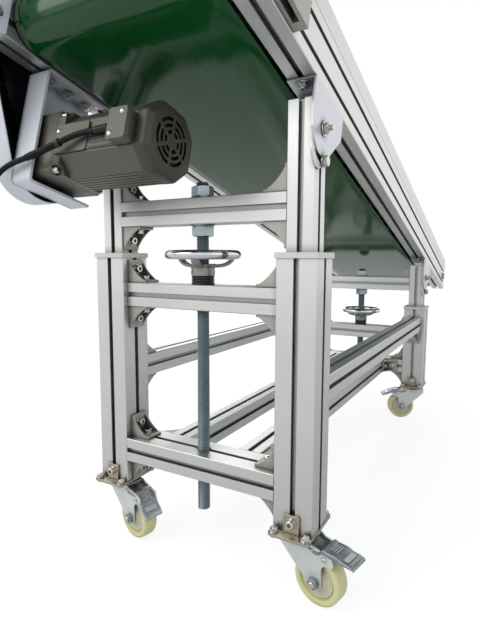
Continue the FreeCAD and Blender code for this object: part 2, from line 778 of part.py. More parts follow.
def terminal_cover():
    """Low cover along the motor's front face and a raised part that takes the lead."""
    front = motor_at - motor_size / 2
    middle = -motor_below
    half = cover_height / 2
    low = box((motor_face + cover_start, front - cover_proud, middle - half),
              (motor_face + box_start, front, middle + half))
    low = low.cut(box((motor_face + cover_start + cover_length, front - cover_proud - 1, middle + half - 14),
                      (motor_face + box_start, front + 1, middle + half + 1)))
    for k in range(groove_count):
        bottom = middle - half + groove_width + groove_pitch * k
        low = low.cut(box((motor_face + cover_start + cover_length + groove_width, front - cover_proud - 1, bottom),
                          (motor_face + box_start, front - cover_proud + groove_depth, bottom + groove_width)))
    raised = box((motor_face + box_start, front - box_proud, middle - half),
                 (motor_face + box_start + box_length, front, middle + half))
    return fused([low, raised])


def between(p, radius_p, q, radius_q):
    """Outline points' data of a band round two circles in the plane across the belt."""
    (y1, z1), (y2, z2) = p, q
    length = math.hypot(y2 - y1, z2 - z1)
    base = math.atan2(z2 - z1, y2 - y1)
    spread = math.acos((radius_p - radius_q) / length)
    return base, spread


def band(x, depth, p, radius_p, q, radius_q):
    base, spread = between(p, radius_p, q, radius_q)

    def at(centre, radius, angle):
        return V(x, centre[0] + radius * math.cos(angle), centre[1] + radius * math.sin(angle))

    above, below = base + spread, base - spread
    edges = [
        Part.Arc(at(p, radius_p, above), at(p, radius_p, base + math.pi), at(p, radius_p, below)).toShape(),
        Part.makeLine(at(p, radius_p, below), at(q, radius_q, below)),
        Part.Arc(at(q, radius_q, below), at(q, radius_q, base), at(q, radius_q, above)).toShape(),
        Part.makeLine(at(q, radius_q, above), at(p, radius_p, above)),
    ]
    return Part.Face(Part.Wire(edges)).extrude(V(depth, 0, 0))


motor_centre = (motor_at, -motor_below)
roller_centre = (drive_roller_at, roller_height)
guard_inside = -(rail_x + rail_width / 2)
chain_x = guard_inside - 22.0


def chain_guard():
    outer = band(guard_inside - guard_depth, guard_depth, motor_centre, guard_motor_radius,
                 roller_centre, guard_roller_radius)
    inner = band(guard_inside - guard_depth + guard_sheet, guard_depth, motor_centre,
                 guard_motor_radius - guard_sheet, roller_centre, guard_roller_radius - guard_sheet)
    return outer.cut(inner)


def sprockets():
    parts = []
    for (y, z), bore in ((motor_centre, output_radius), (roller_centre, shaft_radius)):
        wheel = cylinder((chain_x - sprocket_width / 2, y, z), (1, 0, 0), sprocket_radius - 3, sprocket_width)
        boss = cylinder((chain_x, y, z), (1, 0, 0), sprocket_radius - 9, 14)
        hole = cylinder((chain_x - 10, y, z), (1, 0, 0), bore, 30)
        parts.append(fused([wheel, boss]).cut(hole))
    return parts


def chain_line(distance):
    """Point and outward direction on the chain's pitch line, which runs round two equal sprockets."""
    p, q = V(0, *motor_centre), V(0, *roller_centre)
    run = (q - p).Length
    ahead = (q - p).normalize()
    left = V(0, -ahead.z, ahead.y)
    around = math.pi * sprocket_radius
    distance = distance % (2 * (run + around))
    if distance < run:
        return p + ahead * distance + left * sprocket_radius, left
    if distance < run + around:
        turn = (distance - run) / sprocket_radius
        out = left * math.cos(turn) + ahead * math.sin(turn)
        return q + out * sprocket_radius, out
    if distance < 2 * run + around:
        return q - ahead * (distance - run - around) - left * sprocket_radius, left * -1
    turn = (distance - 2 * run - around) / sprocket_radius
    out = left * -math.cos(turn) - ahead * math.sin(turn)
    return p + out * sprocket_radius, out


def chain():
    """Closed loop of link plates, as deep at the pins and waisted between them."""
    p, q = V(0, *motor_centre), V(0, *roller_centre)
    total = 2 * (q - p).Length + 2 * math.pi * sprocket_radius
    steps = 2 * round(total / chain_pitch)
    loops = []
    for side, (pin, waist), sweep in ((1, chain_outer, 2 * chain_half_width),
                                      (-1, chain_inner, 2 * chain_half_width + 2)):
        points = []
        for k in range(2 * steps):
            point, out = chain_line(total * k / (2 * steps))
            at_pin = 0.5 + 0.5 * math.cos(math.pi * k / 2)
            points.append(point + out * (side * (waist + (pin - waist) * at_pin)))
        loop = prism(points, V(sweep, 0, 0))
        loop.translate(V(chain_x - sweep / 2, 0, 0))
        loops.append(loop)
    return loops[0].cut(loops[1])


def take_up_block():
    """Block on the right rail's outer face with the screw that sets the drive roller's shaft."""
    x = rail_x + rail_width / 2
    start = drive_roller_at + 26
    low = 3.0
    body = box((x, start, low), (x + block_depth, start + block_length, low + block_height))
    body = body.cut(box((x + 5, start - 1, low - 1),
                        (x + block_depth - 5, start + block_length - 14, low + block_height - 8)))
    screw = cylinder((x + block_depth / 2, start - 6, roller_height), (0, 1, 0), 4.0, block_length + 14)
    head = hexagon((x + block_depth / 2, start + block_length, roller_height), (0, 1, 0), 13.0, 6.0)
    return fused([body, screw, head])


def gland_tip():
    """Where the lead leaves its gland, on the raised part of the terminal cover."""
    exit_point = V(motor_face + box_start - gland_length, motor_at - motor_size / 2 - box_proud / 2, -motor_below)
    return bed_placement.multVec(exit_point)


def lead_points():
    tip = gland_tip()
    return [tip + V(*p) for p in lead_route]


# Free lead: straight runs joined by arcs, each arc 0.45 of the shorter run
def lead_path():
    points = lead_points()
    edges = []
    radii = []
    last = points[0]
    for before, corner, after in zip(points, points[1:], points[2:]):
        into, out = (corner - before), (after - corner)
        cut = 0.45 * min(into.Length, out.Length)
        into.normalize()
        out.normalize()
        turn = math.acos(max(-1.0, min(1.0, into.dot(out))))
        start, end = corner - into * cut, corner + out * cut
        radius = cut / math.tan(turn / 2)
        middle = corner + (end - corner + start - corner).normalize() * (radius / math.cos(turn / 2) - radius)
        edges += [Part.LineSegment(last, start).toShape(), Part.Arc(start, middle, end).toShape()]
        radii.append(round(radius))
        last = end
    edges.append(Part.LineSegment(last, points[-1]).toShape())
    return Part.Wire(edges), radii


def motor_lead():
    path, radii = lead_path()
    start, second = lead_points()[:2]
    direction = second - start
    ring = Part.Wire([Part.makeCircle(lead_radius, start, direction)])
    tube = path.makePipeShell([ring], True, False)
    print("lead length", round(path.Length, 1), "radii", radii,
          "volume ratio", round(tube.Volume / (math.pi * lead_radius ** 2 * path.Length), 4))
    return tube


def lead_gland():
    """Tapered sleeve from the raised part of the terminal cover to the lead."""
    base = gland_tip() + V(gland_length, 0, 0)
    return Part.makeCone(gland_radius, gland_tip_radius, gland_length, base, V(-1, 0, 0))


def lead_connector():
    before, end = lead_points()[-2:]
    direction = (end - before).normalize()
    body = Part.makeCylinder(connector_radius, connector_length, end, direction)
    nose = Part.makeCylinder(nose_radius, nose_length, end + direction * connector_length, direction)
    return fused([body, nose])


def build():
    nodes = {}
    nodes["outer_legs_front"] = [outer_leg(s * leg_x, 0, front_outer_length) for s in (-1, 1)]
    nodes["outer_legs_rear"] = [outer_leg(s * leg_x, wheelbase, rear_outer_length) for s in (-1, 1)]
    nodes["leg_caps"] = ([leg_cap(s * leg_x, 0, front_top) for s in (-1, 1)]
                         + [leg_cap(s * leg_x, wheelbase, rear_top) for s in (-1, 1)])
    reach = leg_x - outer_size / 2
    low = post_foot + low_bar_height
    nodes["low_cross_bars"] = [cross_bar(y, low, reach, low_bar_depth) for y in (0, wheelbase)]
    nodes["middle_cross_bars"] = [cross_bar(0, mid_bar_front, reach, bar_size),
                                  cross_bar(wheelbase, mid_bar_rear, reach, bar_size)]
    nodes["high_side_beams"] = side_beams(leg_x, post_foot + high_beam_height)
    nodes["low_side_beams"] = side_beams(low_beam_spacing / 2, low)
    nodes["cross_bar_brackets"] = stand_brackets()
    nodes["beam_brackets"] = beam_brackets()
    bearing_front, bearing_rear = mid_bar_front + bar_size, mid_bar_rear + bar_size
    nodes["thrust_bearings"] = [thrust_bearing(0, bearing_front), thrust_bearing(wheelbase, bearing_rear)]
    nodes["caster_mounts"] = [caster_mount(x, y) for x, y in leg_places]

    inner_reach = leg_x - inner_size / 2
    for name, y, inner_top, reach_up, bar_base, lower in (
            ("front", 0, front_inner_top, front_inner_reach, top_bar_front, True),
            ("rear", wheelbase, rear_inner_top, rear_inner_reach, top_bar_rear, False)):
        nodes["inner_legs_" + name] = [inner_leg(s * leg_x, y, inner_top, reach_up) for s in (-1, 1)]
        nodes["lift_bar_" + name] = [cross_bar(y, bar_base, inner_reach, bar_size)]
        nodes["lift_brackets_" + name] = frame_brackets(y, bar_base, lower)
        nodes["lifting_screw_" + name] = [lifting_screw(y, bar_base)]
    nodes["handwheel_front"] = [handwheel(0, bearing_front + bearing_height)]
    nodes["handwheel_rear"] = [handwheel(wheelbase, bearing_rear + bearing_height)]

    for name, x, y, heading, pedal in caster_table:
        place = caster_frame(x, y, heading)
        for prefix, shape in (("caster_fork_", caster_fork(pedal)), ("caster_wheel_", caster_wheel())):
            nodes[prefix + name] = [shape.transformed(place.toMatrix())]

    nodes["rail_left"] = tilted([rail(-1)])
    nodes["rail_right"] = tilted([rail(1)])
    nodes["side_guards"] = tilted([side_guard(s) for s in (-1, 1)])
    nodes["belt"] = tilted([belt()])
    nodes["drive_roller"] = tilted([roller(drive_roller_at, drive_roller_radius, 30.0)])
    nodes["tail_roller"] = tilted([roller(tail_roller_at, tail_roller_radius, 6.0)])
    nodes["bed_plate"] = tilted([bed_plate()])
    nodes["bed_cross_bars"] = tilted(bed_cross_bars())
    nodes["end_plates"] = tilted([end_plate(s) for s in (-1, 1)])
    nodes["motor_bracket"] = tilted([motor_bracket()])
    nodes["gearbox"] = tilted([gearbox()])
    nodes["motor_body"] = tilted([motor_body()])
    nodes["fan_cover"] = tilted([fan_cover()])
    nodes["terminal_cover"] = tilted([terminal_cover()])
    nodes["chain_guard"] = tilted([chain_guard()])
    nodes["sprockets"] = tilted(sprockets())
    nodes["chain"] = tilted([chain()])
    nodes["take_up_block"] = tilted([take_up_block()])

    front_pivot, rear_pivot = on_bed(0.0, front_pivot_height), on_bed(wheelbase, rear_pivot_height)
    nodes["swivel_plates_front"] = tilted([swivel_plate(s, *front_pivot, 0.0) for s in (-1, 1)])
    nodes["swivel_plates_rear"] = tilted([swivel_plate(s, *rear_pivot, slide_gap) for s in (-1, 1)])
    nodes["slide_nuts_rear"] = tilted([nut_strip(s, rear_pivot[0]) for s in (-1, 1)])
    nodes["pivot_bolts_front"] = plate_bolts(0.0, front_pivot_height, bolt_reach)
    nodes["lock_bolts_front"] = plate_bolts(0.0, front_pivot_height - lock_radius, bolt_reach)
    nodes["pivot_bolts_rear"] = plate_bolts(wheelbase, rear_pivot_height, -bolt_end_clearance)
    nodes["lock_bolts_rear"] = plate_bolts(wheelbase, rear_pivot_height - lock_radius, -bolt_end_clearance)
    nodes["motor_lead"] = [motor_lead()]
    nodes["lead_gland"] = [lead_gland()]
    nodes["lead_connector"] = [lead_connector()]
    return nodes


cord_nodes = ("motor_lead", "lead_connector")


def centre_shift(nodes):
    """From the stand's own centre to the middle of the whole object's box, without the lead."""
    whole = FreeCAD.BoundBox()
    for name, solids in nodes.items():
        if name not in cord_nodes:
            for solid in solids:
                whole.add(solid.BoundBox)
    return V(-(whole.XMin + whole.XMax) / 2, -(whole.YMin + whole.YMax) / 2, 0)


def main():
    os.makedirs("parts", exist_ok=True)
    nodes = build()
    shift = centre_shift(nodes)
    print("shift", [round(c, 3) for c in shift])
    for name, solids in nodes.items():
        shape = Part.makeCompound(solids) if len(solids) > 1 else solids[0]
        shape = shape.copy()
        shape.translate(shift)
        shape.exportStep("parts/" + name + ".step")
    print(len(nodes), "nodes")


main()
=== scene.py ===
import json
import math

import bpy
import bmesh
from mathutils import Matrix, Vector
from mathutils.geometry import tessellate_polygon


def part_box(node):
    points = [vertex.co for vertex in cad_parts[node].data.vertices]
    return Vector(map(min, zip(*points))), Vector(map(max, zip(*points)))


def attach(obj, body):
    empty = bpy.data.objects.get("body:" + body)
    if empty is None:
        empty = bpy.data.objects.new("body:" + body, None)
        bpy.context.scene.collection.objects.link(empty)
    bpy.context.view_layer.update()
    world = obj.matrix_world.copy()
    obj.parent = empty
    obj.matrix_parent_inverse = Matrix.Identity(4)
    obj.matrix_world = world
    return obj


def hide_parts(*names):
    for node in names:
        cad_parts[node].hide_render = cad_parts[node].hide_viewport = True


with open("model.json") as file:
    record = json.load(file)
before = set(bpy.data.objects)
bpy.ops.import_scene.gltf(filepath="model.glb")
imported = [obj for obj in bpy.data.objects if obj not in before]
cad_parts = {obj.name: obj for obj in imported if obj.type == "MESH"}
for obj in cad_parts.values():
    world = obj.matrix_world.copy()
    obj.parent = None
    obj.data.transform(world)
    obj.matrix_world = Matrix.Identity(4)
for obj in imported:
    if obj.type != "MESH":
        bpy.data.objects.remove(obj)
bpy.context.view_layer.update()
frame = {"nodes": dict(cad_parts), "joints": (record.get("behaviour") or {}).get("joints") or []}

# Portable belt conveyor on a wheeled stand. Pieces are drawn in millimetres, in the frame of the stand or the
# bed, and placed in the frame's metres by the matrices stand and bed.
MM = 0.001
X, Y, Z = Vector((1, 0, 0)), Vector((0, 1, 0)), Vector((0, 0, 1))
SIDES = (-1, 1)


def columns(x, y, z, origin=(0, 0, 0)):
    """Matrix whose own X, Y and Z point along three directions."""
    return Matrix.Translation(origin) @ Matrix((x, y, z)).transposed().to_4x4()


def move(x=0.0, y=0.0, z=0.0):
    return Matrix.Translation((x, y, z))


def facing(origin, direction, spin=0.0):
    """Places a shape with its own Z along direction."""
    turn = Vector(direction).to_track_quat("Z", "Y").to_matrix().to_4x4()
    return Matrix.Translation(origin) @ turn @ Matrix.Rotation(spin, 4, "Z")


def upright(x, y, z):
    """Frame with its own Y up and its own Z towards the drive end."""
    return columns(X, Z, -Y, (x, y, z))


def crosswise(x, y=0.0, z=0.0):
    """Frame with its own Z across the bed, X along the belt and Y square to it."""
    return columns(Y, Z, X, (x, y, z))


def box_centre(name):
    low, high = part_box(name)
    return (low + high) / 2


foot = box_centre("outer_legs_front")
foot.z = 0
stand = Matrix.Translation(foot) @ Matrix.Scale(MM, 4)
slide = Vector(next(joint["axis"] for joint in frame["joints"] if joint["name"] == "nut_slide"))
along = Vector((0, slide.y, slide.z)).normalized() * math.copysign(1, slide.y)
normal = X.cross(along)
rail_base = min(v.co.dot(normal) for v in frame["nodes"]["rail_right"].data.vertices)
bed_origin = Vector((foot.x, foot.y, (rail_base - foot.y * normal.y) / normal.z))
bed = columns(X, along, normal, bed_origin) @ Matrix.Scale(MM, 4)
bed_tilt = math.atan2(-along.z, along.y)


def span(name):
    """Lowest and highest corner of a node in the stand's millimetres."""
    return [(corner - foot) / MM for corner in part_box(name)]


# Sizes that the pieces share with the solids, in millimetres
outer_size, inner_size, bar_size = 60.0, 40.0, 40.0
front_legs, rear_legs = span("outer_legs_front"), span("outer_legs_rear")
leg_x = front_legs[1].x - outer_size / 2
post_foot = front_legs[0].z
leg_top = {"front": front_legs[1].z, "rear": rear_legs[1].z}
row_y = {"front": 0.0, "rear": (rear_legs[0].y + rear_legs[1].y) / 2}
low_bar = span("low_cross_bars")[0].z
middle_bar = {"front": span("middle_cross_bars")[1].z - bar_size, "rear": span("middle_cross_bars")[0].z}
high_beam = span("high_side_beams")[0].z
low_beam_x = span("low_side_beams")[1].x
top_bar = {row: span("lift_bar_" + row)[0].z for row in row_y}
legs = [(row, side * leg_x, y) for row, y in row_y.items() for side in SIDES]
rail_x, rail_half = 172.0, 20.0


# Shapes
class Shape:
    """Points in millimetres and faces, each face with the number of its finish."""

    def __init__(self, points=(), faces=(), mark=0):
        self.points = [Vector(p) for p in points]
        self.faces = [(tuple(face), mark) for face in faces]

    def __add__(self, other):
        return joined([self, other])

    def moved(self, matrix):
        result = Shape()
        result.points = [matrix @ p for p in self.points]
        result.faces = list(self.faces)
        return result

    def at(self, x=0.0, y=0.0, z=0.0):
        return self.moved(move(x, y, z))

    def finished(self, mark):
        return Shape(self.points, [face for face, _ in self.faces], mark)


def joined(shapes):
    result = Shape()
    for shape in shapes:
        count = len(result.points)
        result.points += shape.points
        result.faces += [(tuple(i + count for i in face), mark) for face, mark in shape.faces]
    return result


def copies(shape, places):
    return joined([shape.moved(place) for place in places])


def polar(radius, angle):
    return radius * math.cos(angle), radius * math.sin(angle)


def turns(count):
    return [2 * math.pi * k / count for k in range(count)]


def arc_points(centre, radius, start, end, steps=8):
    """Points on an arc, its angles in degrees."""
    angles = [math.radians(start + (end - start) * k / steps) for k in range(steps + 1)]
    return [(centre[0] + x, centre[1] + y) for x, y in (polar(radius, angle) for angle in angles)]


def hole(radius, centre=(0, 0)):
    return arc_points(centre, radius, 0, 345, 23)


def rounded(outline, radius, steps=4):
    """The outline with its corners as arcs; radius is one number or a list with one per corner."""
    result = []
    for k, corner in enumerate(outline):
        r = radius[k] if isinstance(radius, list) else radius
        p = Vector(corner)
        if r <= 0:
            result.append(tuple(p))
            continue
        a, b = Vector(outline[k - 1]) - p, Vector(outline[(k + 1) % len(outline)]) - p
        half = a.angle(b) / 2
        cut = min(r / math.tan(half), 0.48 * a.length, 0.48 * b.length)
        r = cut * math.tan(half)
        a.normalize()
        b.normalize()
        centre = p + (a + b).normalized() * (r / math.sin(half))
        first, last = p + a * cut - centre, p + b * cut - centre
        start, end = math.atan2(first.y, first.x), math.atan2(last.y, last.x)
        sweep = (end - start + math.pi) % (2 * math.pi) - math.pi
        result += arc_points(centre, r, math.degrees(start), math.degrees(start + sweep), steps)
    return result


def rectangle(width, height):
    w, h = width / 2, height / 2
    return [(-w, -h), (w, -h), (w, h), (-w, h)]


def corners(low, high):
    """Outline of the rectangle between two opposite corners."""
    return [low, (high[0], low[1]), high, (low[0], high[1])]


def clipped_square(size, corner):
    h, c = size / 2, size / 2 - corner
    return [(-c, -h), (c, -h), (h, -c), (h, c), (c, h), (-c, h), (-h, c), (-h, -c)]


def prism(outline, depth, holes=()):
    """Outline in X and Y, with any holes, from Z 0 to depth."""
    loops = [[Vector((x, y, 0)) for x, y in loop] for loop in (outline, *holes)]
    flat = [p for loop in loops for p in loop]
    count = len(flat)
    caps = tessellate_polygon(loops) if holes else [tuple(range(count))]
    faces = [tuple(reversed(cap)) for cap in caps] + [tuple(i + count for i in cap) for cap in caps]
    start = 0
    for loop in loops:
        for k in range(len(loop)):
            a, b = start + k, start + (k + 1) % len(loop)
            faces.append((a, b, b + count, a + count))
        start += len(loop)
    return Shape(flat + [p + Z * depth for p in flat], faces)


def loft(rings, closed=False):
    """Faces between rings of as many points each, capped at both ends unless the rings form a closed tube."""
    count = len(rings[0])
    total = count * len(rings)
    faces = []
    for low in range(0, total if closed else total - count, count):
        high = (low + count) % total
        for k in range(count):
            m = (k + 1) % count
            faces.append((low + k, low + m, high + m, high + k))
    if not closed:
        faces += [tuple(reversed(range(count))), tuple(range(total - count, total))]
    return Shape([p for ring in rings for p in ring], faces)


def revolve(profile, sides=40, closed=False):
    """Profile of radius and height about Z; a radius of 0 is a pole."""
    points, rows, faces = [], [], []
    for radius, height in profile:
        if radius < 1e-6:
            rows.append([len(points)] * sides)
            points.append((0, 0, height))
        else:
            rows.append([len(points) + k for k in range(sides)])
            points += [polar(radius, angle) + (height,) for angle in turns(sides)]
    for low, high in zip(rows, rows[1:] + rows[:1] * closed):
        for k in range(sides):
            m = (k + 1) % sides
            face = tuple(dict.fromkeys((low[k], low[m], high[m], high[k])))
            if len(face) > 2:
                faces.append(face)
    return Shape(points, faces)


# Fasteners
def pin(radius, start, end, sides=20):
    return revolve([(0, start), (radius, start), (radius, end), (0, end)], sides)


def hexagon_radius(across, angle):
    return across / 2 / math.cos((angle + math.pi / 6) % (math.pi / 3) - math.pi / 6)


def hexagon(across, height, sides=48):
    """Nut or bolt head with both ends chamfered."""
    flat = across / 2 * 0.97
    slope = 0.55
    rings = [[], [], [], []]
    for a in turns(sides):
        corner = hexagon_radius(across, a)
        drop = (corner - flat) * slope
        for ring, radius, z in zip(rings, (flat, corner, corner, flat), (0, drop, height - drop, height)):
            ring.append(polar(radius, a) + (z,))
    return loft(rings)


def washer(radius, thickness):
    edge = min(0.4, thickness / 3)
    return revolve([(0, 0), (radius - edge, 0), (radius, edge), (radius, thickness - edge),
                    (radius - edge, thickness), (0, thickness)], 32)


def on_washer(radius, thickness, head):
    return washer(radius, thickness) + head.at(z=thickness)


def socket_screw(radius, height, across, sides=36):
    """Cap head with its hexagon socket, standing on Z 0."""
    edge, depth = radius * 0.14, height * 0.6

    def circle(r, z):
        return [polar(r, a) + (z,) for a in turns(sides)]

    def socket(z):
        return [polar(hexagon_radius(across, a), a) + (z,) for a in turns(sides)]

    return loft([circle(radius, 0), circle(radius, height - edge), circle(radius - edge, height),
                 socket(height), socket(height - depth)])


def threaded(radius, pitch, length, sides=20):
    """Rod with a thread along its whole length."""
    root = radius - 0.55 * pitch
    points = [polar(root, a) + (z,) for z in (0.0, length) for a in turns(sides)]
    rows = 2 * math.ceil(length / pitch) + 3
    grid = []
    for k in range(sides + 1):
        column = []
        for j in range(rows):
            z = (j / 2 + k / sides - 1) * pitch
            if z <= 0:
                column.append(k % sides)
            elif z >= length:
                column.append(sides + k % sides)
            elif k == sides:
                column.append(grid[0][j + 2])
            else:
                column.append(len(points))
                points.append(polar(radius if j % 2 else root, turns(sides)[k]) + (z,))
        grid.append(column)
    faces = [tuple(reversed(range(sides))), tuple(range(sides, 2 * sides))]
    for left, right in zip(grid, grid[1:]):
        for j in range(rows - 1):
            face = tuple(dict.fromkeys((left[j], right[j], right[j + 1], left[j + 1])))
            if len(face) > 2:
                faces.append(face)
    return Shape(points, faces)


def stud(radius, length):
    """Threaded end that stands out of a bolt's nut."""
    pitch, sunk = 1.25, 0.5
    return threaded(radius, pitch, length + sunk, 16).at(z=-sunk)


def hexagon_bolt(across, height, washer_radius, washer_thickness, stud_radius, stud_length):
    end = stud(stud_radius, stud_length).at(z=height)
    return on_washer(washer_radius, washer_thickness, hexagon(across, height) + end)


# Pieces
def ease(piece, width, angle):
    """Rounds the edges that are sharper than angle."""
    bevel = piece.modifiers.new("edges", "BEVEL")
    bevel.width = width * MM
    bevel.segments = 2
    bevel.limit_method = "ANGLE"
    bevel.angle_limit = math.radians(angle)
    return bevel


def build(name, shape, place, body, looks, replaces="", bevel=0.0, angle=35.0):
    """Makes the piece's object; looks holds the finishes' names in the order of the faces' marks."""
    mesh = bpy.data.meshes.new(name)
    mesh.from_pydata([tuple(place @ p) for p in shape.points], [], [face for face, _ in shape.faces])
    for polygon, (_, mark) in zip(mesh.polygons, shape.faces):
        polygon.material_index = mark
    for key in looks.split():
        mesh.materials.append(finishes[key])
    work = bmesh.new()
    work.from_mesh(mesh)
    bmesh.ops.remove_doubles(work, verts=work.verts, dist=1e-6)
    bmesh.ops.dissolve_degenerate(work, edges=work.edges, dist=1e-7)
    bmesh.ops.recalc_face_normals(work, faces=work.faces)
    work.to_mesh(mesh)
    work.free()
    mesh.shade_smooth()
    piece = bpy.data.objects.new(name, mesh)
    bpy.context.scene.collection.objects.link(piece)
    if bevel:
        ease(piece, bevel, angle).harden_normals = True
    else:
        mesh.set_sharp_from_angle(angle=math.radians(angle))
    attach(piece, body)
    if replaces:
        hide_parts(replaces)
    return piece


def build_bolts(name, shape, place, body, replaces=""):
    build(name, shape, place, body, "bright", replaces, angle=38)


# Finishes
def linear(colour, factor=1.0):
    """A colour as it looks on screen, 0 to 255, as the shader's linear colour, made lighter by a factor."""
    result = []
    for value in colour:
        v = value / 255
        result.append(min(1.0, factor * (v / 12.92 if v <= 0.04045 else ((v + 0.055) / 1.055) ** 2.4)))
    return tuple(result) + (1.0,)


def feed(tree, socket, value):
    """Links an output to the socket, or gives the socket a plain value."""
    if isinstance(value, bpy.types.NodeSocket):
        tree.links.new(value, socket)
    else:
        socket.default_value = value


def add_node(tree, kind, *first, **values):
    """New shader node with its first inputs, then settings in small letters and inputs in capitals."""
    made = tree.nodes.new("ShaderNode" + kind)
    for name, value in values.items():
        if name.islower():
            setattr(made, name, value)
    for k, value in enumerate(first):
        feed(tree, made.inputs[k], value)
    for name, value in values.items():
        if not name.islower():
            feed(tree, made.inputs[name.replace("_", " ")], value)
    return made


def shade_by_occlusion(tree, colour, shade_factor, darkest):
    """Painted shade: the colour times the openness of the place that ambient occlusion finds, down to the
    given factor where the openness is darkest or less.
    """
    occlusion = add_node(tree, "AmbientOcclusion", samples=4, Distance=14 * MM)
    level = add_node(tree, "MapRange", From_Min=darkest, From_Max=0.97, To_Min=shade_factor, To_Max=1.0,
                     Value=occlusion.outputs["AO"])
    product = add_node(tree, "VectorMath", colour, operation="SCALE", Scale=level.outputs["Result"])
    return product.outputs["Vector"]


def finish(key, colour, roughness, metallic=0.0, size=0.004, grain=(1, 1, 1), turn=0.0, tint=0.05,
           spread=0.05, relief=0.02, patches=12.0, shade_factor=0.3, darkest=0.3, **settings):
    """Finish whose colour and roughness vary in broad patches, with fine grain stretched along the metal.

    The colour carries painted shade from ambient occlusion, in the piece's slots and recesses and next to
    other parts; the shade factor is how dark it becomes where the shade is deepest, and 1 leaves it out.
    """
    material = bpy.data.materials.new(key.replace("_", " "))
    material.use_nodes = True
    tree = material.node_tree
    place = add_node(tree, "TexCoord").outputs["Object"]
    mapping = add_node(tree, "Mapping", vector_type="TEXTURE", Vector=place, Rotation=(turn, 0, 0),
                       Scale=[size * g for g in grain])
    fine = add_node(tree, "TexNoise", Vector=mapping.outputs["Vector"], Scale=1.0, Detail=4.0).outputs["Fac"]
    broad = add_node(tree, "TexNoise", Vector=place, Scale=1.0 / (size * patches), Detail=3.0).outputs["Fac"]
    half = add_node(tree, "Math", broad, 0.5, operation="MULTIPLY").outputs["Value"]
    both = add_node(tree, "Math", fine, 0.5, half, operation="MULTIPLY_ADD").outputs["Value"]
    least, most = 0.3, 0.7
    ramp = add_node(tree, "ValToRGB", both)
    for element, position, factor in zip(ramp.color_ramp.elements, (least, most), (1 - tint, 1 + tint)):
        element.position = position
        element.color = linear(colour, factor)
    tone = ramp.outputs["Color"]
    # painted shade from ambient occlusion
    if shade_factor < 1:
        tone = shade_by_occlusion(tree, tone, shade_factor, darkest)
    rough = add_node(tree, "MapRange", From_Min=least, From_Max=most, To_Min=max(0.02, roughness - spread),
                     To_Max=roughness + spread, Value=both)
    bump = add_node(tree, "Bump", Strength=1.0, Distance=relief * MM, Height=fine)
    settings.update(Base_Color=tone, Roughness=rough.outputs["Result"], Normal=bump.outputs["Normal"],
                    Metallic=metallic)
    for name, value in settings.items():
        feed(tree, tree.nodes["Principled BSDF"].inputs[name.replace("_", " ")], value)
    finishes[key] = material


def anodised(key, grain, turn=0.0, tone=(226, 227, 225)):
    finish(key, tone, 0.36, 0.9, 0.0012, grain, turn, tint=0.035, relief=0.01, patches=120.0)


